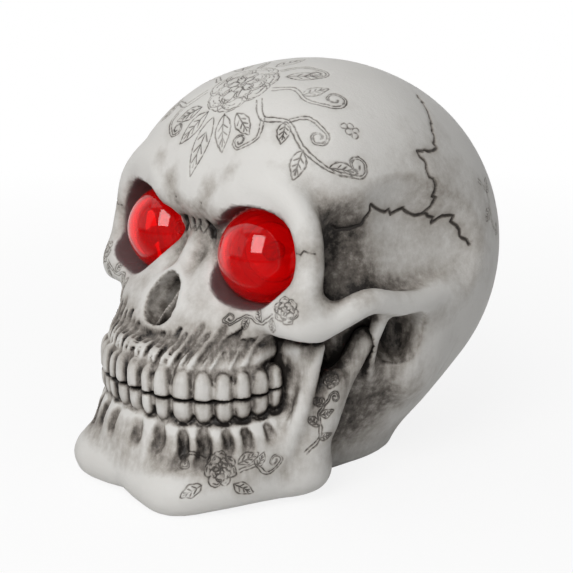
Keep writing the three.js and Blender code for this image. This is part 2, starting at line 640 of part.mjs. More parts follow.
// Plate with the bay's opening, hinge holes, screw holes, switch slot and finger notch
function basePlate() {
  const outline = roundedOutline(plateHalfWidth, plateHalfLength, PLATE_POWER, PLATE_CENTRE_Y);
  const opening = block(bayWidth, bayRear - bayFront, 20, 0, (bayFront + bayRear) / 2, -5);
  const pinHole = rod(PIN_RADIUS + GAP, -bayWidth / 2 - PIN_REACH - GAP, bayWidth / 2 + PIN_REACH + GAP, 10)
    .rotateY(Math.PI / 2).translate(0, hingeY, hingeZ);
  const slot = block(KNOB_WIDTH + 2 * GAP, KNOB_LENGTH + SWITCH_TRAVEL + 2 * GAP, 20, SWITCH_X,
    PLATE_CENTRE_Y, -5);
  const notch = rod(NOTCH_RADIUS, -5, PLATE_RECESS + NOTCH_DEPTH, 20).translate(0, bayRear, 0);
  const heads = screwPlaces.map(([x, y]) => solid(rod(SCREW_HEAD_RADIUS + GAP, -5,
    PLATE_RECESS + SCREW_HEAD_RECESS + SCREW_HEAD + GAP).translate(x, y, 0)));
  const cuts = [opening, pinHole, slot, notch].map(solid)
    .concat(heads, screwPlaces.map(([x, y]) => screwHole(x, y)));
  const body = solid(prism(outline, PLATE_RECESS, plateTop));
  return geometryOf(cuts.reduce((a, cut) => a.subtract(cut), body));
}

// Screw with a cross recess and a point
function baseScrew() {
  const under = PLATE_RECESS + SCREW_HEAD_RECESS;
  const seat = under + SCREW_HEAD;
  const tip = seat + SCREW_LENGTH;
  const body = solid(upright([[0, under], [SCREW_HEAD_RADIUS, under], [SCREW_HEAD_RADIUS, seat],
    [SCREW_RADIUS, seat], [SCREW_RADIUS, tip - 2 * SCREW_RADIUS], [0, tip]], 14));
  const arms = 1.4 * SCREW_HEAD_RADIUS;
  const across = solid(block(arms, SCREW_SLOT, SCREW_HEAD, 0, 0, under - SCREW_HEAD / 2));
  const along = solid(block(SCREW_SLOT, arms, SCREW_HEAD, 0, 0, under - SCREW_HEAD / 2));
  return geometryOf(body.subtract(across).subtract(along));
}

// Open box over the bay, with flanges welded to the plate and slots for the terminals' tabs
function batteryTub() {
  const height = tubTop - tubBase;
  const outer = solid(block(tubWidth, tubLength, height, 0, PLATE_CENTRE_Y, tubBase));
  const flange = solid(block(tubWidth + 2 * TUB_FLANGE, tubLength, TUB_WALL, 0, PLATE_CENTRE_Y, tubBase));
  const inner = solid(block(tubInnerWidth, tubInnerLength, tubInnerTop - tubBase + 1, 0, PLATE_CENTRE_Y,
    tubBase - 1));
  const tabSlot = (x) => solid(block(TAB_WIDTH + 2 * GAP, CONTACT + 2 * GAP, 2 * TUB_WALL, x,
    rearContactY, tubInnerTop - TUB_WALL / 2));
  return geometryOf(outer.add(flange).subtract(inner).subtract(tabSlot(-CELL_SPACING / 2))
    .subtract(tabSlot(CELL_SPACING / 2)));
}

const rearContactY = PLATE_CENTRE_Y + tubInnerLength / 2 - GAP - CONTACT / 2;
const frontContactY = PLATE_CENTRE_Y - tubInnerLength / 2 + GAP + CONTACT / 2;
const contactZ = cellZ - CONTACT_HEIGHT / 2;
const tabTop = tubTop + TAB_RISE;

// Cell with its nub; it points to +Y or -Y
function cell(direction) {
  const back = 0;
  const shoulder = CELL_LENGTH - CELL_NUB;
  const profile = [[0, back], [CELL_RADIUS, back], [CELL_RADIUS, shoulder], [CELL_NUB_RADIUS, shoulder],
    [CELL_NUB_RADIUS, CELL_LENGTH], [0, CELL_LENGTH]];
  const geometry = turned(profile, 20);
  if (direction < 0) geometry.rotateZ(Math.PI);
  const nubY = direction > 0 ? rearContactY - CONTACT / 2 - GAP : frontContactY + CONTACT / 2 + GAP;
  return geometry.translate(-direction * CELL_SPACING / 2, nubY - direction * CELL_LENGTH, cellZ);
}

function terminal(x) {
  const plate = solid(block(CONTACT_WIDTH, CONTACT, CONTACT_HEIGHT, x, rearContactY, contactZ));
  const tab = solid(block(TAB_WIDTH, CONTACT, tabTop - contactZ, x, rearContactY, contactZ));
  return geometryOf(plate.add(tab));
}

function contactBridge() {
  return block(CELL_SPACING + CONTACT_WIDTH, CONTACT, CONTACT_HEIGHT, 0, frontContactY, contactZ);
}

// Conical battery spring between a contact and the flat end of a cell
function contactSpring(x, contactY, direction) {
  const base = contactY + direction * (CONTACT / 2 + GAP + SPRING_WIRE / 2);
  const rise = SPRING_ROOM - SPRING_WIRE - GAP;
  const steps = Math.round(SPRING_TURNS * 10);
  const points = Array.from({ length: steps + 1 }, (_, i) => {
    const t = i / steps;
    const a = 2 * Math.PI * SPRING_TURNS * t;
    const r = THREE.MathUtils.lerp(SPRING_RADIUS, SPRING_TIP_RADIUS, t);
    return new THREE.Vector3(x + r * Math.cos(a), base + direction * rise * t, cellZ + r * Math.sin(a));
  });
  return tubeAlong(points, SPRING_WIRE / 2, steps);
}

// Round tube with closed ends along a curve through the points
function tubeAlong(points, radius, steps, sides = WIRE_SIDES) {
  const ring = Array.from({ length: sides }, (_, i) => {
    const a = (2 * Math.PI * i) / sides;
    return new THREE.Vector2(radius * Math.cos(a), radius * Math.sin(a));
  });
  const extrudePath = new THREE.CatmullRomCurve3(points);
  return new THREE.ExtrudeGeometry(new THREE.Shape(ring), { steps, extrudePath, bevelEnabled: false });
}

// Flat cover with a barrel that turns on the pin
function batteryCover() {
  const width = bayWidth - 2 * GAP;
  const rear = bayRear - GAP;
  const flat = solid(block(width, rear - hingeY, COVER_THICKNESS, 0, (rear + hingeY) / 2, PLATE_RECESS));
  const barrel = solid(rod(BARREL_RADIUS, -width / 2, width / 2, 12).rotateY(Math.PI / 2)
    .translate(0, hingeY, hingeZ));
  const bore = solid(rod(PIN_RADIUS + GAP, -width, width, 10).rotateY(Math.PI / 2)
    .translate(0, hingeY, hingeZ));
  return geometryOf(flat.add(barrel).subtract(bore));
}

function hingePin() {
  const half = bayWidth / 2 + PIN_REACH;
  return rod(PIN_RADIUS, -half, half, 10).rotateY(Math.PI / 2).translate(0, hingeY, hingeZ);
}

// Switch housing, open below, and its slider at the off end of its travel
function switchBody() {
  const outer = solid(block(SWITCH_WIDTH, SWITCH_LENGTH, SWITCH_HEIGHT, SWITCH_X, PLATE_CENTRE_Y,
    switchBase));
  const inner = solid(block(SWITCH_WIDTH - 2 * SWITCH_WALL, SWITCH_LENGTH - 2 * SWITCH_WALL, SWITCH_HEIGHT,
    SWITCH_X, PLATE_CENTRE_Y, switchBase - SWITCH_WALL));
  return geometryOf(outer.subtract(inner));
}

function switchSlider() {
  const y = PLATE_CENTRE_Y - SWITCH_TRAVEL / 2;
  const carriage = solid(block(SLIDER_WIDTH, SLIDER_LENGTH, SLIDER_HEIGHT, SWITCH_X, y, switchBase));
  const bottom = PLATE_RECESS - KNOB_DROP;
  const knob = solid(block(KNOB_WIDTH, KNOB_LENGTH, switchBase + SLIDER_HEIGHT / 2 - bottom, SWITCH_X, y,
    bottom));
  return geometryOf(carriage.add(knob));
}

function circuitBoard() {
  return block(BOARD.x, BOARD.y, BOARD.z, 0, BOARD_Y, tubTop + GAP);
}

const resistorY = BOARD_Y - BOARD.y / 2 + 2 * RESISTOR_RADIUS;

// Waisted resistor on two bent leads that stand on the board
function resistor() {
  const half = RESISTOR_LENGTH / 2;
  const waist = 0.8 * RESISTOR_RADIUS;
  const z = boardTop + 2 * GAP + RESISTOR_RADIUS;
  const body = solid(turned([[0, -half], [RESISTOR_RADIUS, -half], [RESISTOR_RADIUS, -half / 2],
    [waist, -half / 3], [waist, half / 3], [RESISTOR_RADIUS, half / 2], [RESISTOR_RADIUS, half],
    [0, half]], 12)
    .rotateZ(Math.PI / 2).translate(0, resistorY, z));
  const lead = LED_LEAD;
  const across = solid(new THREE.BoxGeometry(RESISTOR_PITCH + lead, lead, lead).translate(0, resistorY, z));
  const foot = (x) => solid(block(lead, lead, z - boardTop - GAP, x, resistorY, boardTop + GAP));
  return geometryOf(body.add(across).add(foot(-RESISTOR_PITCH / 2)).add(foot(RESISTOR_PITCH / 2)));
}

// Wire that leaves its start along one direction and comes down onto its end
function wire(start, direction, middle, end, lift = WIRE_LIFT) {
  const out = start.clone().addScaledVector(direction, lift);
  const above = end.clone().add(new THREE.Vector3(0, 0, lift));
  return tubeAlong([start, out, ...middle, above, end], WIRE_RADIUS, WIRE_STEPS);
}

function ledWire(side, pole) {
  const pose = eyePose(side);
  const start = new THREE.Vector3(pole * LED_LEAD_PITCH / 2, ledBack - LED_LEAD_LENGTH - GAP, 0)
    .applyMatrix4(pose);
  const back = new THREE.Vector3(0, -1, 0).transformDirection(pose);
  const end = new THREE.Vector3(side * (BOARD.x / 2 - 2 * WIRE_RADIUS), BOARD_Y + pole * side * PAD_PITCH / 2,
    boardTop + GAP);
  const drop = start.clone().addScaledVector(back, LED_WIRE_RUN).lerp(end, 0.45);
  return wire(start, back, [drop], end);
}

const up = new THREE.Vector3(0, 0, 1);
const tabEnd = (x) => new THREE.Vector3(x, rearContactY, tabTop + GAP);
const switchEnd = (y) => new THREE.Vector3(SWITCH_X, PLATE_CENTRE_Y + y, switchBase + SWITCH_HEIGHT + GAP);

function batteryLeadRed() {
  const middle = [new THREE.Vector3(SWITCH_X / 3, PAD_PITCH, tabTop + LEAD_ARCH)];
  return wire(tabEnd(-CELL_SPACING / 2), up, middle, switchEnd(PAD_PITCH / 2));
}

function batteryLeadBlack() {
  const end = new THREE.Vector3(PAD_PITCH, BOARD_Y + BOARD.y / 3, boardTop + GAP);
  return wire(tabEnd(CELL_SPACING / 2), up, [], end, SHORT_WIRE_LIFT);
}

function switchLead() {
  const end = new THREE.Vector3(BOARD.x / 2 - 2 * WIRE_RADIUS, resistorY, boardTop + GAP);
  return wire(switchEnd(-PAD_PITCH / 2), up, [], end, SWITCH_WIRE_LIFT);
}

// Finishes
const finish = (color, roughness, metalness = 0) => (
  new THREE.MeshStandardMaterial({ color, roughness, metalness }));
const bone = finish(0xcfcbc3, 0.6);
const redGlass = finish(0xc4070b, 0.08);
const whitePlastic = finish(0xe8e6e0, 0.45);
const blackPlastic = finish(0x1b1b1c, 0.5);
const steel = finish(0xb9bbbd, 0.35, 1);
const brass = finish(0xc8a553, 0.35, 1);
const boardGreen = finish(0x2f5a37, 0.5);
const redWire = finish(0xa31414, 0.5);
const blackWire = finish(0x141414, 0.5);
const cellJacket = finish(0x3a4048, 0.35, 0.3);
const beige = finish(0xc9a878, 0.5);

const skull = new THREE.Group();

function place(name, geometry, material, parent = skull) {
  const mesh = new THREE.Mesh(geometry, material);
  mesh.name = name;
  parent.add(mesh);
}

place('skull_casting', skullCasting(), bone);
place('jaw_casting', jawCasting(), bone);

for (const [name, side] of [['left', 1], ['right', -1]]) {
  const eye = new THREE.Group();
  eye.applyMatrix4(eyePose(side));
  skull.add(eye);
  place(`${name}_eye_lens`, lens(), redGlass, eye);
  place(`${name}_led_holder`, ledHolder(), whitePlastic, eye);
  place(`${name}_led`, led(), redGlass, eye);
  place(`${name}_led_wire_red`, ledWire(side, 1), redWire);
  place(`${name}_led_wire_black`, ledWire(side, -1), blackWire);
}

place('base_plate', basePlate(), blackPlastic);
screwPlaces.forEach(([x, y], i) => place(`base_screw_${i + 1}`, baseScrew().translate(x, y, 0), steel));
place('battery_tub', batteryTub(), blackPlastic);
place('battery_cell_left', cell(-1), cellJacket);
place('battery_cell_right', cell(1), cellJacket);
place('contact_bridge', contactBridge(), brass);
place('positive_terminal', terminal(-CELL_SPACING / 2), brass);
place('negative_terminal', terminal(CELL_SPACING / 2), brass);
place('contact_spring_front', contactSpring(-CELL_SPACING / 2, frontContactY, 1), steel);
place('contact_spring_rear', contactSpring(CELL_SPACING / 2, rearContactY, -1), steel);
place('battery_cover', batteryCover(), blackPlastic);
place('cover_hinge_pin', hingePin(), steel);
place('switch_body', switchBody(), blackPlastic);
place('switch_slider', switchSlider(), whitePlastic);
place('circuit_board', circuitBoard(), boardGreen);
place('resistor', resistor(), beige);
place('battery_lead_red', batteryLeadRed(), redWire);
place('battery_lead_black', batteryLeadBlack(), blackWire);
place('switch_lead', switchLead(), redWire);

export default skull;
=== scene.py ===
import math
import bpy
import numpy as np
from mathutils import Matrix, Vector, kdtree, noise as ripple


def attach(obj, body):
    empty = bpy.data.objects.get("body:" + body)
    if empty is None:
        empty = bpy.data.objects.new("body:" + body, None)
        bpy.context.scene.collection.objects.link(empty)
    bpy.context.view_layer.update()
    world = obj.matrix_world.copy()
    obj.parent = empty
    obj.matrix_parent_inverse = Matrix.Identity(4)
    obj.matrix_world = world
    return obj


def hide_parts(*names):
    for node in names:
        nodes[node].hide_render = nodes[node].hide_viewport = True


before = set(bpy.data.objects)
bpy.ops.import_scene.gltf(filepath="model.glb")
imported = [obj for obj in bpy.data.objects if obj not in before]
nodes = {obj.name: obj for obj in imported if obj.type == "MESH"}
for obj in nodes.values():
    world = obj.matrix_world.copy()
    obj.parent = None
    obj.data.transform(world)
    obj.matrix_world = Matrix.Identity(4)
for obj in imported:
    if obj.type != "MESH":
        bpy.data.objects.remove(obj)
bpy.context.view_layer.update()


# The skull and its lower jaw are two castings in filled resin, sculpted by hand before the mould was taken.
# Each is worked here as a lump of clay: rounded bodies are pressed on and cut away with soft edges, in mm,
# on the left half of a block whose lines lie closest at the face, and the other half is its mirror image.
mm = 0.001


def graded(*runs):
    """Lines of the block along one axis, from runs of start, stop and step."""
    lines = [np.arange(start, stop, step) for start, stop, step in runs]
    return np.append(np.concatenate(lines), runs[-1][1]).astype(np.float32)


def melt(a, b, soft):
    """The smaller of two distances, with the corner between them rounded off."""
    h = np.maximum(soft - np.abs(a - b), 0) / soft if soft else 0
    return np.minimum(a, b) - h * h * soft / 4


class Clay:
    """Distances to the skin of the clay where the lines cross, below zero inside it."""
    open_air, margin = 60.0, 9

    def __init__(self):
        self.lines = [graded((0, 57.6, 0.72), (57.6, 64, 3.2)),
                      graded((-77, -71, 3), (-71, -22, 0.62), (-22, -8, 0.75), (-8, 8, 0.95), (8, 69.6, 1.4),
                             (69.6, 77.6, 4)),
                      graded((-8.5, -1.5, 3.5), (-1.5, 92, 0.68), (92, 120, 0.85), (120, 128, 4))]
        self.d = np.full([len(line) for line in self.lines], self.open_air, np.float32)

    def work(self, body, soft, sign):
        low, high, distance = body
        spans = [np.searchsorted(line, (a - soft - self.margin, b + soft + self.margin))
                 for line, a, b in zip(self.lines, low, high)]
        near = tuple(slice(max(a - 1, 0), b + 1) for a, b in spans)
        x, y, z = (line[k] for line, k in zip(self.lines, near))
        new = distance(x[:, None, None], y[None, :, None], z[None, None, :])
        self.d[near] = sign * melt(sign * self.d[near], new, soft)

    def add(self, body, soft=0.0):
        self.work(body, soft, 1)

    def cut(self, body, soft=0.0):
        self.work(body, soft, -1)


def turned(x, y, z, yaw):
    c, s = math.cos(math.radians(yaw)), math.sin(math.radians(yaw))
    return c * x + s * y, c * y - s * x, z


def lump(centre, size, yaw=0.0, power=2.0):
    """A ball drawn out to half sizes, squarer for a power above 2."""
    centre, size = np.array(centre, float), np.array(size, float)
    reach = np.full(3, size.max()) if yaw else size

    def distance(x, y, z):
        x, y, z = turned(x - centre[0], y - centre[1], z - centre[2], yaw)
        u, v, w = np.abs(x / size[0]), np.abs(y / size[1]), np.abs(z / size[2])
        grade = np.maximum((u ** power + v ** power + w ** power) ** (1 / power), 1e-4)
        fall = np.sqrt(sum((t ** (power - 1) / half) ** 2 for t, half in zip((u, v, w), size)))
        return (grade - 1) * grade ** (power - 1) / np.maximum(fall, 1e-5)
    return centre - reach, centre + reach, distance


def slab(centre, half, edge=0.0, yaw=0.0):
    """A block with half sizes and a rounded edge."""
    centre, half = np.array(centre, float), np.array(half, float)
    reach = np.full(3, np.linalg.norm(half)) if yaw else half

    def distance(x, y, z):
        x, y, z = turned(x - centre[0], y - centre[1], z - centre[2], yaw)
        beyond = [np.abs(v) - h + edge for v, h in zip((x, y, z), half)]
        outside = np.sqrt(sum(np.maximum(v, 0) ** 2 for v in beyond))
        inside = np.minimum(np.maximum(np.maximum(beyond[0], beyond[1]), beyond[2]), 0)
        return outside + inside - edge
    return centre - reach, centre + reach, distance


def side(normal, point):
    """All that lies behind a plane through a point."""
    normal = np.array(normal, float) / np.linalg.norm(normal)
    offset = normal @ np.array(point, float)

    def distance(x, y, z):
        return normal[0] * x + normal[1] * y + normal[2] * z - offset
    return np.full(3, -200.0), np.full(3, 200.0), distance


def overlap(a, b):
    def distance(x, y, z):
        return np.maximum(a[2](x, y, z), b[2](x, y, z))
    return np.maximum(a[0], b[0]), np.minimum(a[1], b[1]), distance


def together(a, b, soft):
    def distance(x, y, z):
        return melt(a[2](x, y, z), b[2](x, y, z), soft)
    return np.minimum(a[0], b[0]), np.maximum(a[1], b[1]), distance


def smooth_path(points, per, closed=False):
    """A curve through the points, with so many steps to each stretch."""
    p = np.array(points, float)
    m, out = len(p), []
    for i in range(m if closed else m - 1):
        around = np.arange(i - 1, i + 3)
        a, b, c, d = p[around % m if closed else np.clip(around, 0, m - 1)]
        for t in np.arange(per) / per:
            cubic = (3 * b - a - 3 * c + d) * t ** 3
            out.append(0.5 * (2 * b + (c - a) * t + (2 * a - 5 * b + 4 * c - d) * t * t + cubic))
    out.append(p[0] if closed else p[-1])
    return np.array(out)


def roll(*points, per=4, closed=False):
    """A rolled sausage of clay through points of x, y, z and radius."""
    path = smooth_path(points, per, closed)
    low, high = (path[:, :3] - path[:, 3:]).min(0), (path[:, :3] + path[:, 3:]).max(0)

    def distance(x, y, z):
        near = None
        for a, b in zip(path[:-1], path[1:]):
            way = b[:3] - a[:3]
            px, py, pz = x - a[0], y - a[1], z - a[2]
            t = np.clip((px * way[0] + py * way[1] + pz * way[2]) / max(way @ way, 1e-6), 0, 1)
            from_axis = np.sqrt((px - t * way[0]) ** 2 + (py - t * way[1]) ** 2 + (pz - t * way[2]) ** 2)
            from_skin = from_axis - a[3] - t * (b[3] - a[3])
            near = from_skin if near is None else np.minimum(near, from_skin)
        return near
    return low, high, distance


# The teeth stand on one arch, where a place is an angle in degrees from the middle of the face. The upper and
# lower rows meet on a bite that is lowest near the canines and rises to the front and to the back.
arch_half_width, arch_half_depth, arch_middle_y = 33.5, 29.5, -30
bite_low, bite_low_y = 31.7, -56
bite_rise_behind, bite_rise_before = 0.006, 0.05
tooth_edges = (0, 9.7, 17.5, 27.3, 38.3, 48.4, 58, 66.7, 76, 84)
half_tooth_per_degree = 0.29
crown_thick, moat_thick, moat_margin, tooth_squareness = 2.7, 1.6, 0.2, 2.4
tooth_places = [((a + b) / 2, (b - a) * half_tooth_per_degree)
                for a, b in zip(tooth_edges[:-1], tooth_edges[1:])]


def on_arch(degrees, out=0.0):
    a = math.radians(degrees)
    x, y = (arch_half_width + out) * math.sin(a), arch_middle_y - (arch_half_depth + out) * math.cos(a)
    return np.array([x, y])


def bite(y):
    return bite_low + np.where(y > bite_low_y, bite_rise_behind, bite_rise_before) * (y - bite_low_y) ** 2


def gum(rise, out, radius):
    """A roll along the arch at a height over the bite."""
    places = [on_arch(a, out) for a in (0, 15, 30, 45, 60, 75, 92)]
    return roll(*[(x, y, bite(y) + rise, radius) for x, y in places], per=3)


def tooth_row(clay, up, moat_out, moat_rise, moat_tall, moat_soft, crown_rise, crown_width, crowns):
    """Cuts a moat round each tooth, then sets crowns of an offset, height and twist each; up is 1 or -1."""
    for s, wide in tooth_places:
        x, y = on_arch(s, moat_out)
        middle, size = (x, y, bite(y) + up * moat_rise), (wide + moat_margin, moat_thick, moat_tall)
        clay.cut(lump(middle, size, yaw=s, power=tooth_squareness), moat_soft)
    for (s, wide), (out, tall, twist) in zip(tooth_places, crowns):
        x, y = on_arch(s, out)
        middle, size = (x, y, bite(y) + up * crown_rise), (wide * crown_width, crown_thick, tall)
        crown = lump(middle, size, yaw=s + twist, power=tooth_squareness)
        clay.add(overlap(crown, side((0, 0.05 * up, -up), (x, y, bite(y) + 0.25 * up))), 0.5)


eye_place, eye_splay = np.array([22.2, -29.5, 68.6]), math.radians(20)
eye_axis = np.array([math.sin(eye_splay), -math.cos(eye_splay), 0.0])
in_front_of_eye = side(-eye_axis, eye_place + 0.5 * eye_axis)

skull = Clay()
# Braincase with room for the face, forehead, base and brow
skull.add(lump((0, 12, 62), (52, 55, 55)))
skull.cut(slab((0, -58, 40), (70, 28, 40)), 8)
skull.add(lump((0, -2, 82), (43, 31, 32), power=2.6), 12)
skull.cut(slab((0, -58, 30), (70, 32, 43)), 6)
skull.add(lump((0, -1.5, 10), (26, 33.5, 26), power=2.5), 14)
skull.add(lump((0, 8, 26), (34, 33, 20)), 12)
skull.add(lump((21, -10, 82.5), (22, 27, 20), power=2.3), 7)
skull.add(lump((0, -22, 84), (12, 13.5, 14)), 6)
skull.add(slab((0, -33, 14), (20, 20, 20), 4), 4)
# Hollow of the temple, then the rim of the eye socket, upper jaw, cheekbone and bones of the nose
temple = together(lump((50.5, -20.5, 70), (12, 9, 18), yaw=18), lump((57, -9, 79), (12.5, 19, 17), yaw=10), 5)
skull.cut(together(lump((93, 2, 71), (49, 62, 41)), temple, 9), 2)
skull.add(roll((5, -31, 76, 3.4), (12, -32.5, 82.5, 4.2), (21, -32, 88.5, 4.6), (31, -31, 88, 4.6),
               (39.5, -30.5, 81.5, 4.2), (43, -31, 71, 3.8), (42.2, -33, 61, 4.4), (35, -36.5, 55, 4.6),
               (26, -38, 53.2, 4), (16.5, -38, 55, 3.6), (11, -37.2, 60.5, 3), (6.8, -34, 68, 2.6),
               closed=True), 3)
skull.add(lump((0, -31, 47), (27, 19, 17), power=2.4), 8)
skull.add(lump((0, -27, 37.5), (29.5, 27, 9), power=2.6), 6)
skull.add(gum(6.8, -3.6, 4.3), 4)
skull.add(lump((41, -33, 56), (8, 7, 7), yaw=35), 4)
skull.add(roll((0, -28, 78, 5), (0, -31, 73, 4.4), (0, -36, 67.5, 3.6), (0, -41.8, 61.6, 2.4)), 3)
# Cheek arch, mastoid, pit and folds of the ear
skull.add(roll((37, -33.5, 56.5, 5.2), (42.5, -32.8, 54.3, 5.4), (48, -27, 55.3, 4.4), (51.5, -18, 59.3, 3.6),
               (51.5, -9, 57.3, 3.5), (50, 3, 54.8, 4), (46, 16, 55, 4.6)), 4)
skull.add(lump((41, 9, 40), (8, 10, 15), yaw=15), 8)
skull.cut(lump((52, -17, 46.5), (9.5, 12, 7)), 4)
skull.cut(lump((50, -2.6, 45.8), (9.4, 6.2, 8.2), power=3), 0.7)
skull.cut(lump((45, -2.2, 44.5), (6, 3.4, 4.6)), 1.2)
skull.add(roll((49.5, -10, 56, 2.6), (47.5, -11.5, 48, 1.9), (45, -10.5, 41, 1.6), (41, -7, 34, 1.6),
               (37, -1, 28, 1.2)), 2)
skull.add(roll((47, 5, 43, 1.6), (46, 3, 35, 2.4), (42, 5, 28, 2.4), (37, 10, 24, 1.4)), 3)
# Hollow of the cheek, and ridges and furrows over the roots of the upper teeth
skull.cut(lump((39, -32.5, 42.5), (10, 12, 8.3), yaw=32), 3)
for height, thick, places in ((46, 3, ((0, -11.5), (15, -9.3), (30, -7), (45, -5.4), (58, -4), (72, -3.2))),
                              (50.5, 3.4, ((20, -13), (34, -11), (48, -8.6), (60, -6), (72, -4)))):
    skull.add(roll(*[(*on_arch(s, out), height, thick) for s, out in places], per=3), 4)
skull.add(gum(9.8, -3.7, 3.2), 3)
for s, swing, top, fat in ((0.5, 1, 45, 0.6), (5, 3, 46.5, 0.3), (9.7, 5, 47, 0.7), (13.5, 8, 48, 0.35),
                           (17.5, 10, 49.5, 0.75), (22, 12, 49, 0.4), (27.3, 14, 51, 0.8),
                           (32, 15, 49.5, 0.4), (38.3, 17, 52, 0.75), (43, 17, 50, 0.45),
                           (48.4, 16, 52, 0.7), (53, 13, 49, 0.4), (58, 13, 50, 0.65), (66, 9, 48, 0.5)):
    middle, end = s + swing * 0.5, s + swing
    x0, y0 = on_arch(s, 0.5)
    x1, y1 = on_arch(middle, 0.09 * middle - 6.1)
    x2, y2 = on_arch(end, 0.16 * end - 12.1)
    skull.cut(roll((x0, y0, bite(y0) + 7.8, 0.5 * fat + 0.2), (x1, y1, 46, fat), (x2, y2, top, 0.3)), 1.2)
# Eye sockets with their inner corners, and brow ends beside a tongue of the forehead
eye_room = overlap(lump((25.7, -36, 69.9), (14.3, 24, 13.4), yaw=8, power=2.3), in_front_of_eye)
eye_corner = overlap(roll((11, -46, 74.5, 3.6), (13, -36, 73, 4.6), (16, -26, 71, 5.4)), in_front_of_eye)
skull.cut(eye_room, 1.0)
skull.cut(eye_corner, 2)
skull.add(roll((8.2, -34.6, 79.6, 2.2), (12, -36, 82.6, 2.2), (18, -36, 86.6, 1.6)), 3)
skull.cut(roll((5.2, -35.6, 79.5, 0.7), (5.6, -34.6, 76, 1.0), (6.2, -34.4, 72, 0.6)), 1.2)
skull.cut(roll((1.6, -35.6, 78, 0.35), (1.4, -35, 74.5, 0.45)), 0.8)
# Rim and opening of the nose, on each side of its thin wall
skull.add(roll((0, -43, 61.8, 1.7), (4, -43.6, 60, 1.5), (7, -45.4, 56.4, 1.5), (8.2, -47.2, 52.6, 1.6),
               (7, -49.2, 49, 1.7), (3.6, -50.6, 47, 1.8), (0, -51.4, 47.4, 1.9)), 1.8)
skull.cut(roll((0, -44.3, 59.2, 2.6), (0, -46, 56.4, 5.4), (0, -47.6, 53.6, 6.5), (0, -48, 52.8, 6.5)), 0.6)
skull.cut(roll((0, -41.4, 54.7, 4.6), (0, -42.8, 51.6, 5.6)), 1)
skull.add(overlap(slab((0, -42, 52), (0.45, 10, 8)), side((0, -0.7, 0.7), (0, -50.6, 48.4))), 0.6)
# Upper teeth, set a little unevenly
tooth_row(skull, up=1, moat_out=1.2, moat_rise=2.4, moat_tall=6.3, moat_soft=0.6, crown_rise=2.2,
          crown_width=1.0,
          crowns=((0.3, 6.1, 4), (0.0, 5.5, -5), (0.45, 6.4, 3), (0.2, 5.9, -3), (0.4, 5.8, 4),
                  (0.1, 5.4, -4), (0.3, 5.4, 3), (0.0, 5.0, -2), (-0.2, 4.8, 0)))

# Lower jaw: a second casting in the same resin with the lower row of teeth, bonded under the skull. It starts
# with the border from the chin, the walls under the teeth, the branch and its two horns.
jaw = Clay()
jaw.add(roll((0, -59.7, 6.6, 6.0), (10.5, -60.8, 6, 6.4), (19.5, -59.6, 6, 6.9), (26, -51, 6.6, 6.2),
             (30, -40, 7, 6), (32.5, -31, 7.2, 6), (34.5, -25, 9, 6.2)))
for rise, out, radius in ((-18.7, -1.2, 6), (-14.2, -2.2, 5.4), (-9.7, -3, 4.6)):
    jaw.add(gum(rise, out, radius), 5)
jaw.add(roll((34.5, -26, 10, 6.6), (37.8, -25.5, 20, 5.6), (40.2, -24, 29, 4.6), (41.4, -23, 35, 3.8)), 6)
jaw.add(slab((33.6, -30.8, 35), (7.5, 1.8, 12.5), 1.7, yaw=13), 3)
jaw.add(roll((32, -37, 10, 2.6), (36, -34.4, 17, 2.3), (39.6, -32.2, 26, 2.1), (42, -30, 37, 2.0),
             (43.2, -28, 47, 1.8)), 2.5)
jaw.add(roll((39.2, -22.5, 24, 3.6), (41.8, -17.5, 36, 3.3), (44.5, -12.5, 46.5, 3.3)), 4)
# Slots between the roots of the lower teeth, uneven as they were cut by hand
for s, top, foot, fat in ((8.5, -9.6, -20, 1.3), (21, -9.4, -18.6, 1.5), (33.5, -9.6, -18, 1.2),
                          (43, -9.2, -17.4, 1.5), (54, -9.2, -15.6, 1.0), (63, -9.4, -15, 1.1),
                          (74, -9.4, -14, 0.9)):
    stops = ((on_arch(s, 2.2), top, 0.9), (on_arch(s + fat, 3.6), (top + foot) / 2, 1.05),
             (on_arch(s - fat, 6.4), foot, 0.75))
    jaw.cut(roll(*[(x, y, bite(y) + rise, fat * share) for (x, y), rise, share in stops]), 1.5)
# Lower teeth, set a little unevenly
tooth_row(jaw, up=-1, moat_out=0.7, moat_rise=1.9, moat_tall=5.7, moat_soft=0.8, crown_rise=1.8,
          crown_width=0.97,
          crowns=((-0.4, 5.6, -4), (0.0, 5.2, 3), (-0.2, 5.8, -3), (0.1, 5.3, 5), (-0.3, 5.5, -2),
                  (0.0, 5.1, 3), (-0.2, 4.8, -3), (-0.4, 4.8, 2), (-0.5, 4.5, 0)))

# What the castings leave free: the floor, each other, the eye seats and the bay for the works
gap = 0.3
lens_radius, lens_skirt = 13.0, 3.0
bore_radius, bore_depth = 9, 24
plate_half_width, plate_half_length, plate_middle_y, plate_room = 21.8, 28.8, -1, 4.3
screw_x, screw_hole_radius, screw_hole_depth = 17, 1.4, 9.6
for clay in (skull, jaw):
    clay.cut(slab((0, 0, -30), (90, 90, 30)))
skull.d = np.maximum(skull.d, gap - jaw.d)
bore_end = eye_place - bore_depth * eye_axis
bore = roll((*bore_end, bore_radius), (*(eye_place + 2 * eye_axis), bore_radius), per=1)
skull.cut(overlap(bore, side(-eye_axis, bore_end)))
seat_room = lump(eye_place, [lens_radius + gap] * 3)
skull.cut(overlap(seat_room, side(-eye_axis, eye_place - (lens_skirt + gap) * eye_axis)))
tub_bay = slab((0, -1, 14), (14.3, 26.3, 16))
side_bay = slab((9.75, -1, 9), (9.75, 5, 12))
hollow = lump((0, -4, 44), (24, 15, 30))
for room in (tub_bay, side_bay, hollow):
    skull.cut(room)
plate_edge = lump((0, plate_middle_y, 0), (plate_half_width, plate_half_length, 900), power=2.5)[2]
rebate = (np.array([-22.0, -30, -2]), np.array([22.0, 28, plate_room]), plate_edge)
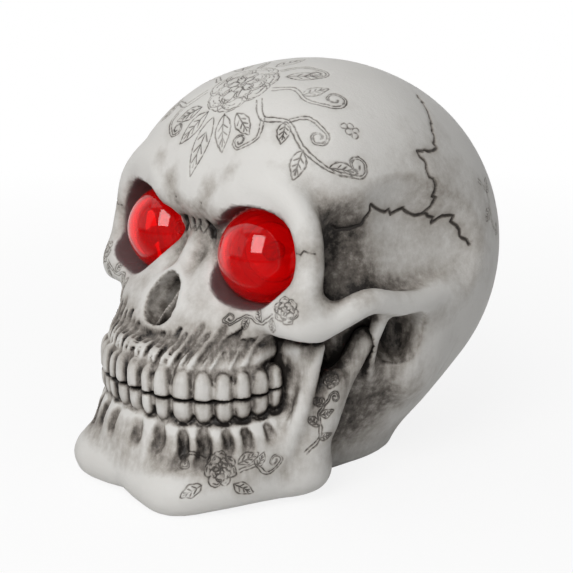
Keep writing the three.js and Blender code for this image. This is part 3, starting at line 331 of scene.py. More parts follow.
skull.cut(overlap(rebate, side((0, 0, 1), (0, 0, plate_room))))
for y in (-13, 11):
    skull.cut(roll(*[(screw_x, y, z, screw_hole_radius) for z in (0, screw_hole_depth)], per=1))


def mirrored(clay):
    field = np.concatenate([clay.d[:0:-1], clay.d])
    return field, [np.concatenate([-clay.lines[0][:0:-1], clay.lines[0]]), clay.lines[1], clay.lines[2]]


cell_corners = [(i, j, k) for i in (0, 1) for j in (0, 1) for k in (0, 1)]


def skin(field, lines):
    """Corner points and four-sided faces of the surface in the block."""
    inside = field < 0
    cells = [n - 1 for n in field.shape]
    count = 0
    for i, j, k in cell_corners:
        count = count + inside[i:cells[0] + i, j:cells[1] + j, k:cells[2] + k].astype(np.int8)
    active = (count > 0) & (count < len(cell_corners))
    number = np.full(active.shape, -1, np.int32)
    place = np.argwhere(active)
    number[active] = np.arange(len(place))
    total, hits = np.zeros((len(place), 3)), np.zeros(len(place))
    for a in cell_corners:
        for axis in (0, 1, 2):
            if a[axis]:
                continue
            b = tuple(1 if n == axis else v for n, v in enumerate(a))
            da, db = (field[tuple((place + c).T)].astype(float) for c in (a, b))
            crossed = (da < 0) != (db < 0)
            point = np.tile(np.array(a, float), (len(place), 1))
            point[:, axis] += np.where(crossed, da / np.where(crossed, da - db, 1), 0)
            total[crossed] += point[crossed]
            hits[crossed] += 1
    within = total / hits[:, None]
    verts = np.stack([line[cell] + part * np.diff(line)[cell]
                      for line, cell, part in zip(lines, place.T, within.T)], 1)
    faces = []
    for axis in (0, 1, 2):
        across = ((axis + 1) % 3, (axis + 2) % 3)
        first, second = [slice(1, -1)] * 3, [slice(1, -1)] * 3
        first[axis], second[axis] = slice(0, -1), slice(1, None)
        a, b = inside[tuple(first)], inside[tuple(second)]
        for flip, crossing in ((False, a & ~b), (True, ~a & b)):
            base = np.argwhere(crossing)
            base[:, across] += 1
            ring = []
            for back in ((1, 1), (0, 1), (0, 0), (1, 0)):
                cell = base.copy()
                cell[:, across] -= back
                ring.append(number[tuple(cell.T)])
            face = np.stack(ring, 1)
            faces.append(face[:, ::-1] if flip else face)
    return verts, np.concatenate(faces)


def reading(field, lines, points):
    """Values of the block at points, between its lines."""
    low, part = [], []
    for line, along in zip(lines, points.T):
        where = np.clip(np.interp(along, line, np.arange(len(line))), 0, len(line) - 1.001)
        low.append(where.astype(int))
        part.append(where - low[-1])
    value = 0
    for corner in cell_corners:
        weight = math.prod(p if c else 1 - p for p, c in zip(part, corner))
        value = value + weight * field[tuple(n + c for n, c in zip(low, corner))]
    return value


def shape_of(mesh):
    """Points of a mesh in mm, and its normals there."""
    points, normals = np.zeros((2, len(mesh.vertices) * 3), np.float32)
    mesh.vertices.foreach_get("co", points)
    mesh.vertex_normals.foreach_get("vector", normals)
    return points.reshape(-1, 3).astype(float) * 1000, normals.reshape(-1, 3).astype(float)


def put_points(mesh, points):
    mesh.vertices.foreach_set("co", (points * mm).astype(np.float32).ravel())


def on_left(points):
    """Points with the right half laid over the left."""
    return np.stack([np.abs(points[:, 0]), points[:, 1], points[:, 2]], 1)


def shelter(points, normals, reach):
    """How far each point lies in a hollow, from 0 in the open to 1 deep in a crevice."""
    free = reading(air, block, points + reach * normals)
    return np.clip(1 - free / reach, 0, 1)


skull_field, block = mirrored(skull)
jaw_field, _ = mirrored(jaw)
air = np.minimum(skull_field, jaw_field)


def casting(name, field):
    """A casting with the faint ripple of hand work, which stays clear of the works, the eyes and the foot."""
    verts, faces = skin(field, block)
    mesh = bpy.data.meshes.new(name)
    mesh.from_pydata((verts * mm).tolist(), [], faces.tolist())
    mesh.validate()
    p, n = shape_of(mesh)
    worn = 0.03 + 0.16 * np.clip(shelter(p, n, 6.0) * 1.6, 0, 1)
    x, y, z = on_left(p).T
    by_works = (x < 27) & (y > -31) & (y < 36) & (z < 80)
    by_eye = np.linalg.norm(on_left(p) - eye_place, axis=1) < lens_radius + 1.5
    worn[by_works | by_eye | (z < 0.5)] = 0
    tool = np.array([ripple.noise(Vector(v) * 0.55) + 0.5 * ripple.noise(Vector(v) * 1.1) for v in p])
    put_points(mesh, p + n * (worn * tool)[:, None])
    piece = bpy.data.objects.new(name, mesh)
    bpy.context.scene.collection.objects.link(piece)
    for polygon in mesh.polygons:
        polygon.use_smooth = True
    return piece


skull_piece = casting("skull", skull_field)
jaw_piece = casting("jaw", jaw_field)


# Carving on the castings: rosettes, leaves and tendrils, and the seams between the bones, alike on both
# halves. The ornament is drawn flat and wrapped onto the clay from outside, and every line is then cut into
# a finer net of faces.
def fall_on_clay(centre, ways, far, steps=60, stride=0.8):
    """Points where rays come down on the clay towards a centre, from a distance outside it."""
    out = np.full(len(ways), far)
    for _ in range(steps):
        out -= stride * reading(air, block, centre + out[:, None] * ways)
    return centre + out[:, None] * ways


def chart(origin, toward, upward, radius):
    """Wraps flat lines round a ball that touches the clay at the origin, and lays them on the clay."""
    out = np.array(toward, float) / np.linalg.norm(toward)
    up = np.array(upward, float) - np.dot(upward, out) * out
    up /= np.linalg.norm(up)
    across = np.cross(up, out)
    centre = np.array(origin, float) - radius * out

    def lay(flat):
        run = np.maximum(np.linalg.norm(flat, axis=1), 1e-6)[:, None]
        sideways = flat[:, :1] * across + flat[:, 1:] * up
        ways = np.cos(run / radius) * out + np.sin(run / radius) * sideways / run
        return fall_on_clay(centre, ways, radius + 12.0)
    return lay


def moved(lines, at, degrees):
    c, s = math.cos(math.radians(degrees)), math.sin(math.radians(degrees))
    return [np.asarray(line) @ np.array([[c, s], [-s, c]]) + np.array(at) for line in lines]


def leaf(length, width):
    t = np.linspace(0, 1, 16)
    edge = width * np.sin(math.pi * t ** 0.85)
    lines = [np.stack([length * t, edge], 1), np.stack([length * t, -edge], 1)]
    lines.append([(0, 0), (length * 0.45, 0.0), (length * 0.85, 0.0)])
    for k in (0.25, 0.45, 0.62):
        reach = 0.7 * width * math.sin(math.pi * (k + 0.16) ** 0.85)
        lines += [[(k * length, 0), ((k + 0.16) * length, way)] for way in (reach, -reach)]
    return lines


def rosette(radius, petals):
    """Rings of rounded petals that overlap, with cupped lines inside them and a rolled heart."""
    t = np.linspace(0, 1, 16)
    notch = 1 - 0.09 * np.exp(-((t - 0.55) / 0.08) ** 2)
    turn = 2 * math.pi / petals
    lines = []
    for low, high, shift, wide in ((0.14, 0.40, 0.5, 1.15), (0.36, 0.70, 0.1, 1.2), (0.62, 1.0, 0.6, 1.2)):
        for k in range(petals):
            lean = 0.05 * math.sin(2.1 * k + 9 * low)
            a = (k + shift + lean) * turn + (t - 0.5) * turn * wide
            r = radius * (low + (high - low + lean) * np.sin(math.pi * t) ** 0.45 * notch)
            lines.append(np.stack([r * np.cos(a), r * np.sin(a)], 1))
            cup = slice(3, 9) if k % 2 else slice(7, 13)
            lines.append(np.stack([r[cup] * 0.86 * np.cos(a[cup]), r[cup] * 0.86 * np.sin(a[cup])], 1))
    a = np.linspace(0, 4.2 * math.pi, 34)
    lines.append(np.stack([0.012 * radius * a * np.cos(a), 0.012 * radius * a * np.sin(a)], 1))
    return lines


def tendril(points, wide, curl=0.0, hand=1):
    """A stem of two lines that close at its tip, which may roll up in a curl to one hand."""
    p = smooth_path(points, 10)
    if curl:
        d = (p[-1] - p[-2]) / np.linalg.norm(p[-1] - p[-2])
        n = hand * np.array([-d[1], d[0]])
        t = np.linspace(0, 1, 36)[1:, None]
        a = hand * 2.6 * math.pi * t
        r = curl * (1 - 0.78 * t)
        p = np.concatenate([p, p[-1] + curl * n - r * (np.cos(a) * n + np.sin(a) * np.array([-n[1], n[0]]))])
    d = np.gradient(p, axis=0)
    d /= np.maximum(np.linalg.norm(d, axis=1, keepdims=True), 1e-6)
    off = np.stack([-d[:, 1], d[:, 0]], 1) * wide / 2 * np.linspace(1, 0.15, len(p))[:, None]
    return [p + off, p - off]


def berries(at, size):
    a = np.linspace(0, 2 * math.pi, 11)
    return [np.stack([at[0] + size * (np.cos(a) + x), at[1] + size * (np.sin(a) + y)], 1)
            for x, y in ((0, 0), (2.1, 0.5), (0.9, 2.1))]


carving = []


def carve(lay, lines, wide, deep, scale=1.0):
    carving.extend((lay(np.array(line, float) * scale), wide, deep) for line in lines)


# Brow
drawn = moved(rosette(9, 7), (0, 0.5), 13)
drawn += moved(leaf(15, 2.6), (0, -10), -90) + moved(leaf(9, 2), (0, 11), 90)
for hand in (1, -1):
    def turn(degrees):
        return degrees if hand > 0 else 180 - degrees

    def at(u, v):
        return hand * u, v

    for length, width, u, v, way in ((10, 2.2, 3, -9, -58), (9, 2.2, 8, 7, 40), (8, 1.8, 6.5, -8, -28)):
        drawn += moved(leaf(length, width), at(u, v), turn(way))
    drawn += tendril([at(9.4, -3), at(14, -7), at(20, -5.5), at(27, -9), at(34, -9), at(39, -5.5)],
                     1.3, 2.6, hand)
    drawn += tendril([at(9.6, 1), at(14, 3.5), at(19, 2), at(24, 4)], 1.1, 2.9, hand)
    drawn += tendril([at(20, -5), at(23, -2), at(28, -2.5)], 0.9, 2.2, -hand)
    drawn += tendril([at(14, -7), at(16, -11.5), at(13.5, -15)], 0.9, 2.0, -hand)
    drawn += tendril([at(4, 9), at(7, 14), at(12, 15)], 1.0, 2.4, -hand)
    for length, width, u, v, way in ((7, 1.7, 27, -9.4, -72), (6, 1.5, 19.4, -5.4, -62),
                                     (6.5, 1.6, 33.5, -8.6, 38), (6.5, 1.6, 17, 2.8, 70)):
        drawn += moved(leaf(length, width), at(u, v), turn(way))
    drawn += berries(at(31, 1.5), 0.75)
carve(chart((0, -18, 109), (0, -0.5, 0.87), (0, 0.87, 0.5), 52), drawn, wide=0.18, deep=0.24, scale=1.18)

# Cheekbone
drawn = moved(rosette(3.5, 6), (2.6, 2.4), 10)
drawn += tendril([(-1, 0.5), (-6, -2.5), (-11, -1), (-15, -3.6)], 0.9, 1.7, -1)
for length, width, u, v, way in ((4.6, 1.2, -5.6, -2, 118), (4.4, 1.1, -10.5, -1.4, -110),
                                 (4.2, 1.1, -1, -0.5, -100)):
    drawn += moved(leaf(length, width), (u, v), way)
carve(chart((40.5, -40.4, 56.5), (0.5, -0.85, 0.1), (0, 0, 1), 30), drawn, wide=0.22, deep=0.26)

# Side of the jaw
drawn = moved(rosette(4.3, 7), (1, 0.8), 5)
for length, width, u, v, way in ((6, 1.5, 5.4, 2, 24), (6, 1.5, 4.2, -3.2, -30), (5.4, 1.4, -3.4, -2.8, 205)):
    drawn += moved(leaf(length, width), (u, v), way)
drawn += tendril([(-3.2, 2.8), (-6.5, 4.6), (-9, 3)], 0.8, 1.5, 1)
drawn += tendril([(6, 0), (10, 1), (13, -1.5), (16, 0.4)], 0.9, 1.8, 1) + moved(leaf(4.4, 1.2), (10, 0.6), 60)
carve(chart((27.5, -51, 13), (0.78, -0.62, 0.05), (0, 0, 1), 34), drawn, wide=0.2, deep=0.24)

# Branch of the jaw
drawn = tendril([(-2.4, -12), (0.6, -7), (-1, -1), (1.2, 5)], 0.9, 1.6, -1)
drawn += moved(rosette(2.7, 6), (0.6, 9.6), 0)
for u, v, way in ((0.4, -7.6, 18), (-0.4, -4, 148), (-0.8, -1, 24), (0.2, 2, 156)):
    drawn += moved(leaf(4.2, 1.2), (u, v), way)
carve(chart((43.6, -26.6, 28), (0.93, -0.36, 0), (0.1, 0.16, 1), 40), drawn, wide=0.24, deep=0.3)

# Rear of the braincase
drawn = tendril([(-3, 9), (1, 4), (-1, -3), (2, -8)], 1.0, 2.0, 1)
drawn += moved(leaf(6, 1.6), (0.6, 4.4), 35) + moved(leaf(6, 1.6), (-0.6, 0), 205)
carve(chart((43, 38, 76), (0.78, 0.5, 0.3), (0, 0, 1), 45), drawn, wide=0.18, deep=0.24)

# Seams of the temple, then fine cracks at the root of the nose and on the rim of the socket
shake = np.random.default_rng(31)
seam_middle = np.array([0.0, 6, 66])
temple_seams = (
    ((26.2, 24.7, 108.6), (32.4, 22.7, 105), (38.4, 18.3, 101), (42.8, 16, 95.5), (43.9, 7.7, 96),
     (45.9, 9.4, 91), (46.4, 10.7, 86.5), (45.8, 11.8, 82.3), (44.3, 8.7, 78.5)),
    ((44.3, 8.7, 78.5), (43.9, 3.6, 79.7), (44.2, -2.4, 81.1), (45, -9.7, 83.3), (44.1, -13.6, 78.5),
     (40.9, -17.5, 76.6), (40.4, -21, 78.6)),
    ((44.3, 8.7, 78.5), (45.2, 13.5, 76.3), (46.7, 17.9, 77.3), (48, 21.6, 74.1), (49.7, 26, 68)))
fine_cracks = (
    ((7.6, -36, 71.5), (5.2, -37, 74.6), (3.2, -37, 72.8), (1.4, -37, 74.2), (-0.6, -37, 73)),
    ((5.4, -35, 80.4), (5.8, -35, 76.8), (4.6, -36, 74.4)),
    ((40.8, -34, 73.2), (42.6, -32.6, 73.9), (44.6, -30.4, 73.3)))
for seams, wide, deep, loose in ((temple_seams, 0.38, 0.6, 1), (fine_cracks, 0.22, 0.32, 0.5)):
    for bends in seams:
        run = [np.linspace(a, b, max(int(np.linalg.norm(np.subtract(b, a)) / 1.3), 2), endpoint=False)
               for a, b in zip(bends[:-1], bends[1:])]
        run = np.concatenate(run + [np.array(bends[-1:])])
        run[1:-1] += shake.uniform(-0.8, 0.8, (len(run) - 2, 3)) * loose
        ways = run - seam_middle
        ways /= np.linalg.norm(ways, axis=1, keepdims=True)
        carving.append((fall_on_clay(seam_middle, ways, 70.0), wide, deep))

# The cutter's path as dots close together, with the unsteadiness of a hand
dot_step = 0.16
dots = []
for line, wide, deep in carving:
    line = line + 0.13 * np.sin(line[:, [1, 2, 0]] * 2.3 + line[:, [2, 0, 1]] * 1.1)
    for a, b in zip(line[:-1], line[1:]):
        count = max(int(np.linalg.norm(b - a) / dot_step), 1)
        dots += [(*(a + (b - a) * k / count), wide, deep) for k in range(count)]
dots = np.array(dots)
dots = np.concatenate([dots, dots * (-1, 1, 1, 1, 1)])
marks = kdtree.KDTree(len(dots))
for i, dot in enumerate(dots):
    marks.insert(dot[:3], i)
marks.balance()


def nearest_mark(points):
    found = [marks.find(p)[1:] for p in points]
    return np.array([f[0] for f in found]), np.array([f[1] for f in found])


def take_up(piece):
    """Makes a piece the one that the operators act on."""
    bpy.ops.object.select_all(action="DESELECT")
    piece.select_set(True)
    bpy.context.view_layer.objects.active = piece


def set_layer(mesh, name, values):
    layer = mesh.attributes.get(name) or mesh.attributes.new(name, "FLOAT", "POINT")
    layer.data.foreach_set("value", np.asarray(values, np.float32))


def engrave(piece):
    """Splits the faces near the carving three times, and sinks their points into its lines."""
    mesh = piece.data
    take_up(piece)
    for reach in (1.0, 0.5, 0.22):
        centres = np.zeros(len(mesh.polygons) * 3, np.float32)
        mesh.polygons.foreach_get("center", centres)
        _, far = nearest_mark(centres.reshape(-1, 3).astype(float) * 1000)
        bpy.ops.object.mode_set(mode="EDIT")
        bpy.ops.mesh.select_mode(type="FACE")
        bpy.ops.mesh.select_all(action="DESELECT")
        bpy.ops.object.mode_set(mode="OBJECT")
        mesh.polygons.foreach_set("select", far < reach)
        bpy.ops.object.mode_set(mode="EDIT")
        bpy.ops.mesh.subdivide(number_cuts=1)
        bpy.ops.object.mode_set(mode="OBJECT")
    p, n = shape_of(mesh)
    index, far = nearest_mark(p)
    cut = np.exp(-(far / dots[index, 3]) ** 2)
    put_points(mesh, p - n * (cut * dots[index, 4])[:, None])
    mesh.update()
    set_layer(mesh, "line", cut)
    set_layer(mesh, "smudge", np.exp(-(far / 2.2) ** 2))


def thin_out(piece, triangles):
    """Merges faces until about the given number of triangles is left, most where the surface is nearly flat.
    """
    piece.data.calc_loop_triangles()
    take_up(piece)
    fewer = piece.modifiers.new("fewer", "DECIMATE")
    fewer.ratio = triangles / len(piece.data.loop_triangles)
    bpy.ops.object.modifier_apply(modifier=fewer.name)


for piece, triangles in ((skull_piece, 192000), (jaw_piece, 120000)):
    engrave(piece)
    thin_out(piece, triangles)


# Ageing of the castings: bone paint with a dark wash that was brushed on and wiped off again, so that it
# stays in hollows and between the teeth, with painted shade laid over it that darkens a point the deeper it
# lies in a hollow, and a plum-brown coat inside the eye sockets. Each spot where more or less of the wash
# and the painted shade lies has a place, a reach and an amount.
wash_and_shade_spots = (
    ((43.5, 0, 45.5), 6, 1.2), ((39, -23, 71), 9, 0.75), ((41, -20, 81), 8, 0.5), ((47, -11, 68), 12, 0.32),
    ((28.2, -32.6, 43.9), 8, 0.3), ((42, -16, 42), 9, 0.6), ((34, -10, 20), 14, 0.8),
    ((34.5, -33, 34), 4, -0.6), ((41, -31, 36), 7, 0.25), ((31, -38, 33), 7, 0.2), ((3, -41, 52), 6, -0.3),
    ((12.5, -42, 56), 5, 0.4), ((9, -37, 86), 3.5, 0.4), ((16, -37, 92), 3, 0.25), ((7, -36, 67), 4, 0.25),
    ((26, -43, 46), 8, 0.1), ((17, -60, 17), 7, 0.25), ((28, -49, 18), 10, 0.3), ((0, -65, 18), 7, 0.3),
    ((7, -33, 76), 5, 0.3), ((42, 4, 32), 9, 0.3), ((53.8, -21.2, 61), 4, 0.25), ((43, -31, 72), 7, 0.25),
    ((45, -39, 59), 7, 0.15), ((16, -50, 45), 10, 0.2), ((0, -57, 43), 8, 0.25), ((48, 10, 88), 20, 0.2),
    # The last spot is painted shade on the back of the braincase.
    ((50, 26, 70), 20, 0.2))


def age(piece):
    mesh = piece.data
    p, n = shape_of(mesh)
    # Painted shade with the wash: a point is darkened the more, the deeper it lies in a hollow at three
    # reaches.
    wash_and_shade_amount = 0.34 * shelter(p, n, 1.2) + 0.52 * shelter(p, n, 3.0) + 0.62 * shelter(p, n, 7.0)
    half = on_left(p)
    for centre, reach, amount in wash_and_shade_spots:
        wash_and_shade_amount += amount * np.exp(-(np.linalg.norm(half - centre, axis=1) / reach) ** 2)
    x, y, z = half.T
    from_arch = np.hypot(x / arch_half_width, (y - arch_middle_y) / arch_half_depth) - 1
    on_row = (np.abs(from_arch) < 0.17) & (y < -26)
    above_bite = z - bite(y)
    wash_and_shade_amount += 0.11 * (on_row & (np.abs(above_bite) < 8.5))
    for gum_line in (-8.6, 9.4):
        wash_and_shade_amount -= 0.34 * on_row * np.exp(-((above_bite - gum_line) / 1.6) ** 2)
    from_eye = half - eye_place
    seat = (np.linalg.norm(from_eye, axis=1) < lens_radius + 0.8) & (from_eye @ eye_axis < 0.4)
    set_layer(mesh, "wash", np.where(seat, 0, np.clip(wash_and_shade_amount, 0, 1.4)))
    from_socket = np.minimum(eye_room[2](x, y, z), eye_corner[2](x, y, z) + 0.3)
    set_layer(mesh, "socket", np.where(seat, 0, np.clip((0.75 - from_socket) / 0.35, 0, 1)))


class Thread:
    """A shader socket that sums can be written on; node() adds any other node."""

    def __init__(self, tree, socket=None):
        self.tree, self.socket = tree, socket

    def node(self, kind, settings=None, inputs=None, out=0):
        n = self.tree.nodes.new("ShaderNode" + kind)
        for key, value in (settings or {}).items():
            if key == "stops":
                while len(n.color_ramp.elements) < len(value):
                    n.color_ramp.elements.new(0.5)
                for stop, (at, colour) in zip(n.color_ramp.elements, value):
                    stop.position, stop.color = at, colour
            else:
                setattr(n, key, value)
        for key, value in (inputs or {}).items():
            if isinstance(value, Thread):
                self.tree.links.new(value.socket, n.inputs[key])
            else:
                n.inputs[key].default_value = value
        return Thread(self.tree, n.outputs[out])

    def sum(self, operation, a, b=0.0, clamp=False):
        return self.node("Math", {"operation": operation, "use_clamp": clamp}, {0: a, 1: b})

    def mix(self, factor, a, b, blend="MIX"):
        return self.node("Mix", {"data_type": "RGBA", "blend_type": blend}, {0: factor, 6: a, 7: b}, 2)

    def layer(self, name):
        return self.node("Attribute", {"attribute_name": name}, out=2)

    def clamped(self):
        return self.sum("ADD", self, 0.0, True)

    def __add__(self, other):
        return self.sum("ADD", self, other)

    def __radd__(self, other):
        return self.sum("ADD", other, self)

    def __sub__(self, other):
        return self.sum("SUBTRACT", self, other)

    def __rsub__(self, other):
        return self.sum("SUBTRACT", other, self)

    def __mul__(self, other):
        return self.sum("MULTIPLY", self, other)

    def __rmul__(self, other):
        return self.sum("MULTIPLY", other, self)


def finish(name, **plain):
    """A new material; plain numbers and colours go onto its shader, and the rest is linked to it later."""
    material = bpy.data.materials.new(name)
    material.use_nodes = True
    shader = material.node_tree.nodes["Principled BSDF"]
    for key, value in plain.items():
        shader.inputs[key.replace("_", " ")].default_value = value
    start = Thread(material.node_tree)
    place = start.node("TexCoord", out=3)

    def link(**sockets):
        for key, thread in sockets.items():
            material.node_tree.links.new(thread.socket, shader.inputs[key.replace("_", " ")])
    return material, start, place, link


def noise(start, place, scale, detail=4.0, rough=0.55):
    inputs = {"Vector": place, "Scale": scale, "Detail": detail, "Roughness": rough}
    return start.node("TexNoise", None, inputs)


bone, start, place, link = finish("bone_paint", Specular_IOR_Level=0.35)
wash, socket, line, smudge = (start.layer(name) for name in ("wash", "socket", "line", "smudge"))
mottle = noise(start, place, 140, 5)
streak = noise(start, place, 420, 8, 0.68)
blotch = noise(start, place, 38, 3)
drawn_out = start.node("VectorMath", {"operation": "MULTIPLY"}, {0: place, 1: (1, 1, 0.16)})
drip = noise(start, drawn_out, 520, 4, 0.6)
grain = noise(start, place, 1300, 3, 0.6)
tint = start.mix(blotch, (0.58, 0.565, 0.54, 1), (0.66, 0.65, 0.625, 1))
drips_below = 0.05
low_down = ((drips_below - start.node("SeparateXYZ", None, {0: place}, 2)) * 250.0).clamped()
brushed = streak * 1.7 + 0.1 + low_down * (drip * 1.3 - streak * 0.4 - 0.45)
# The wash and the painted shade of the hollows darken the bone through the ramp below, streaked and mottled.
dirt_and_shade = (wash * brushed + smudge * 0.08 + (mottle - 0.5) * 0.35 - 0.1).clamped()
wash_and_shade_colours = ((0.0, (1, 1, 1, 1)), (0.3, (0.62, 0.59, 0.56, 1)), (0.62, (0.24, 0.215, 0.195, 1)),
                (1.0, (0.03, 0.025, 0.022, 1)))
stained_and_shaded = start.mix(1.0, tint, start.node("ValToRGB", {"stops": wash_and_shade_colours}, {0: dirt_and_shade}), "MULTIPLY")
inked = ((line - 0.3) * 1.9).clamped() * (mottle * 2.2 - 0.35).clamped()
lined = start.mix(inked, stained_and_shaded, (0.045, 0.039, 0.034, 1))
plum = start.mix(mottle, (0.05, 0.03, 0.03, 1), (0.14, 0.088, 0.088, 1))
uneven = grain + mottle * 2.0 + streak * 1.5
pits = start.node("Bump", None, {"Strength": 0.3, "Distance": 0.00025, "Height": uneven})
link(Base_Color=start.mix(socket, lined, plum), Roughness=0.46 + grain * 0.18, Normal=pits)

for piece, node in ((skull_piece, "skull_casting"), (jaw_piece, "jaw_casting")):
    age(piece)
    piece.data.materials.append(bone)
    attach(piece, "skull")
    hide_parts(node)


# Eyes: hollow domes of clear red acrylic, polished, with a short skirt that stands in the seat.
# Each is turned from a half profile about the way the eye looks. A faint glow is painted light that
# brightens the red; the lamps behind the domes stay unlit.
lens_wall = 2.0


def dome(name, sign):
    inner, quarter = lens_radius - lens_wall, math.pi / 2
    profile = [(lens_radius * math.cos(a), lens_radius * math.sin(a)) for a in np.linspace(quarter, 0, 28)]
    profile += [(lens_radius, -lens_skirt + 0.4), (lens_radius - 0.15, -lens_skirt + 0.1),
                (lens_radius - 0.4, -lens_skirt), (inner + 0.3, -lens_skirt), (inner, -lens_skirt + 0.3)]
    profile += [(inner * math.cos(a), inner * math.sin(a)) for a in np.linspace(0, quarter, 24)]
    mesh = bpy.data.meshes.new(name)
    edges = [(i, i + 1) for i in range(len(profile) - 1)]
    mesh.from_pydata([(r * mm, 0, h * mm) for r, h in profile], edges, [])
    piece = bpy.data.objects.new(name, mesh)
    bpy.context.scene.collection.objects.link(piece)
    take_up(piece)
    bpy.ops.object.mode_set(mode="EDIT")
    bpy.ops.mesh.select_all(action="SELECT")
    bpy.ops.mesh.spin(steps=72, angle=2 * math.pi, center=(0, 0, 0), axis=(0, 0, 1))
    bpy.ops.mesh.select_all(action="SELECT")
    bpy.ops.mesh.remove_doubles(threshold=0.02 * mm)
    bpy.ops.mesh.normals_make_consistent(inside=False)
    bpy.ops.object.mode_set(mode="OBJECT")
    bpy.ops.object.shade_smooth()
    aim = Vector(eye_axis * (sign, 1, 1)).to_track_quat("Z", "Y").to_matrix().to_4x4()
    mesh.transform(Matrix.Translation(Vector(eye_place * (sign, 1, 1)) * mm) @ aim)
    return piece


# The emission is a painted glow of the dome, not a lamp.
red_clear, start, place, link = finish("clear_red_acrylic", Transmission_Weight=0.85, IOR=1.49,
                                       Base_Color=(1, 0.001, 0.003, 1), Emission_Color=(1, 0.002, 0.004, 1),
                                       Emission_Strength=0.045)
link(Roughness=noise(start, place, 220, 3) * 0.04)
for name, sign in (("left", 1), ("right", -1)):
    piece = dome(name + "_eye", sign)
    piece.data.materials.append(red_clear)
    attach(piece, "skull")
    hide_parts(name + "_eye_lens")


# Lamps behind the eyes: a white moulded cup pressed into each bore, and a tinted epoxy lamp in each cup.
# The switch's knob is of the same white plastic. All are carried over from the frame.
def dress(material, *names):
    for name in names:
        node = nodes[name]
        node.data.materials.clear()
        node.data.materials.append(material)


def speckled(name, scale, detail, low, high, smooth, spread, **plain):
    """A finish whose colour wavers between two, with a roughness that follows it."""
    material, start, place, link = finish(name, **plain)
    speck = noise(start, place, scale, detail)
    link(Base_Color=start.mix(speck, low, high), Roughness=smooth + speck * spread)
    return material


dress(speckled("white_moulding", 700, 2, (0.72, 0.71, 0.68, 1), (0.8, 0.79, 0.77, 1), 0.28, 0.2,
               Specular_IOR_Level=0.45),
      "left_led_holder", "right_led_holder", "switch_slider")
dress(speckled("tinted_epoxy", 300, 2, (0.6, 0.01, 0.01, 1), (0.8, 0.03, 0.02, 1), 0.08, 0.1,
               Transmission_Weight=0.6, IOR=1.5),
      "left_led", "right_led")


# Base: a black moulded plate screwed into a rebate of the casting, with the tub for the cells on it, the
# hinged cover of the tub and the body of the switch. The plastic has a fine spark-eroded grain.
black_abs, start, place, link = finish("black_moulding")
speck = noise(start, place, 1400, 2)
cloud = noise(start, place, 60, 3)
spark = start.node("Bump", None, {"Strength": 0.35, "Distance": 0.0001, "Height": speck})
clouded = start.mix(cloud, (0.012, 0.012, 0.013, 1), (0.022, 0.022, 0.023, 1))
link(Base_Color=clouded, Roughness=0.38 + cloud * 0.25, Normal=spark)
dress(black_abs, "base_plate", "battery_tub", "battery_cover", "switch_body")


# Metal parts of the base: zinc-plated screws, springs and hinge pin, and terminals stamped from brass strip.
# They are stock parts with the plain finishes that such parts come in.
dress(speckled("zinc_plate", 500, 3, (0.48, 0.49, 0.5, 1), (0.62, 0.62, 0.62, 1), 0.22, 0.2, Metallic=1.0),
      "base_screw_1", "base_screw_2", "base_screw_3", "base_screw_4", "contact_spring_front",
      "contact_spring_rear", "cover_hinge_pin")
dress(speckled("brass_strip", 400, 3, (0.5, 0.36, 0.13, 1), (0.66, 0.5, 0.22, 1), 0.24, 0.22, Metallic=1.0),
      "contact_bridge", "positive_terminal", "negative_terminal")


# Electrics: two cells in plain dark jackets, a small board with a green mask and one lacquered resistor,
# and wires in red and black insulation from the lamps, the terminals and the switch.
dress(speckled("cell_jacket", 120, 2, (0.03, 0.035, 0.045, 1), (0.05, 0.055, 0.065, 1), 0.25, 0.15,
               Metallic=0.4),
      "battery_cell_left", "battery_cell_right")
dress(speckled("solder_mask", 260, 3, (0.015, 0.08, 0.03, 1), (0.03, 0.12, 0.045, 1), 0.3, 0.2),
      "circuit_board")
dress(speckled("resistor_lacquer", 500, 2, (0.45, 0.3, 0.14, 1), (0.6, 0.44, 0.24, 1), 0.35, 0.2), "resistor")
dress(speckled("red_insulation", 600, 2, (0.28, 0.008, 0.008, 1), (0.4, 0.015, 0.012, 1), 0.35, 0.2),
      "left_led_wire_red", "right_led_wire_red", "battery_lead_red", "switch_lead")
dress(speckled("black_insulation", 600, 2, (0.006, 0.006, 0.006, 1), (0.014, 0.014, 0.014, 1), 0.35, 0.2),
      "left_led_wire_black", "right_led_wire_black", "battery_lead_black")


# Stage: a pale floor that keeps the shadow and is clear from below, a white backdrop on the far side of a dim
# room, a tall soft box above the camera and two fills.
target = Vector((0, -0.003, 0.0505))
azimuth, elevation, distance = math.radians(50), math.radians(15), 0.4136
behind = Vector((math.sin(azimuth) * math.cos(elevation), -math.cos(azimuth) * math.cos(elevation),
                 math.sin(elevation)))
right = Vector((math.cos(azimuth), math.sin(azimuth), 0))
upward = behind.cross(right)

bpy.ops.object.select_all(action="DESELECT")
bpy.ops.mesh.primitive_plane_add(size=6, location=(0, 0, -0.05 * mm))
floor = bpy.context.object
floor.name = "floor"
pale, start, place, link = finish("pale_floor", Roughness=0.9)
tree = pale.node_tree


def rays(tree):
    """What sees a surface: the camera, and what is mirrored or refracted."""
    path = tree.nodes.new("ShaderNodeLightPath")
    by_camera, glossy, through = (Thread(tree, path.outputs["Is %s Ray" % kind])
                                  for kind in ("Camera", "Glossy", "Transmission"))
    return by_camera, glossy + through


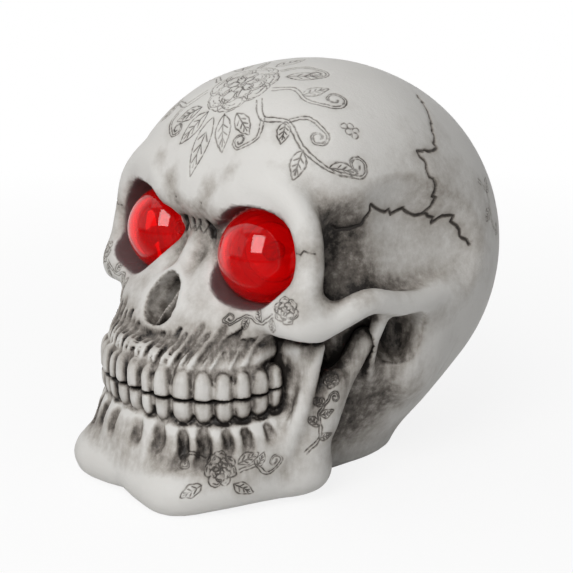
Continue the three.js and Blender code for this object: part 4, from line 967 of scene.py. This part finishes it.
by_camera, in_mirror = rays(tree)
far_side = start.node("VectorMath", {"operation": "DOT_PRODUCT"}, {0: place, 1: -behind}, 1)
far_side = ((far_side + 0.05) * 8.0).clamped()
seen = (by_camera + in_mirror * far_side).clamped()
open_floor = (start.node("VectorMath", {"operation": "LENGTH"}, {0: place}, 1) * 2.0).clamped()
link(Base_Color=start.mix((in_mirror * (1.0 - far_side)).clamped(), (0.9, 0.9, 0.9, 1), (0.2, 0.2, 0.2, 1)))
glow = start.node("Emission", None, {"Color": (1, 1, 1, 1), "Strength": 1.0})
lit = Thread(tree, tree.nodes["Principled BSDF"].outputs[0])
both = start.node("MixShader", None, {0: seen * (0.84 + open_floor * 0.16), 1: lit, 2: glow})
from_below = by_camera * start.node("NewGeometry", out=6)
both = start.node("MixShader", None, {0: from_below, 1: both, 2: start.node("BsdfTransparent")})
tree.links.new(both.socket, tree.nodes["Material Output"].inputs["Surface"])
floor.data.materials.append(pale)

world = bpy.context.scene.world or bpy.data.worlds.new("room")
bpy.context.scene.world = world
world.use_nodes = True
tree = world.node_tree
start = Thread(tree)
by_camera, in_mirror = rays(tree)
far_side = start.node("VectorMath", {"operation": "DOT_PRODUCT"}, {0: start.node("TexCoord"), 1: -behind}, 1)
seen = (by_camera + in_mirror * ((far_side + 0.15) * 3.0).clamped()).clamped()
dim_room = 0.2
back = tree.nodes["Background"]
back.inputs["Color"].default_value = (1, 1, 1, 1)
tree.links.new((dim_room + seen * (1 - dim_room)).socket, back.inputs["Strength"])


def soft_box(name, direction, away, width, height, watts):
    lamp = bpy.data.lights.new(name, "AREA")
    lamp.shape, lamp.size, lamp.size_y, lamp.energy = "RECTANGLE", width, height, watts
    lamp_object = bpy.data.objects.new(name, lamp)
    lamp_object.location = target + away * direction.normalized()
    lamp_object.rotation_euler = direction.to_track_quat("Z", "Y").to_euler()
    bpy.context.scene.collection.objects.link(lamp_object)


soft_box("key", -0.26 * right + 0.42 * upward + 0.87 * behind, 0.75, 0.36, 0.56, 4.0)
soft_box("top", -0.25 * right + 0.95 * upward + 0.1 * behind, 0.8, 0.8, 0.6, 1.0)
soft_box("side", -0.9 * right + 0.35 * upward + 0.4 * behind, 0.8, 0.5, 0.6, 0.4)

picture_pixels, focal_pixels, sensor = 573, 1365, 36
camera = bpy.data.cameras.new("camera")
camera.lens, camera.sensor_width = sensor * focal_pixels / picture_pixels, sensor
camera_object = bpy.data.objects.new("camera", camera)
camera_object.location = target + distance * behind
camera_object.rotation_euler = behind.to_track_quat("Z", "Y").to_euler()
bpy.context.scene.collection.objects.link(camera_object)
bpy.context.scene.camera = camera_object
bpy.context.scene.view_settings.view_transform = "Standard"
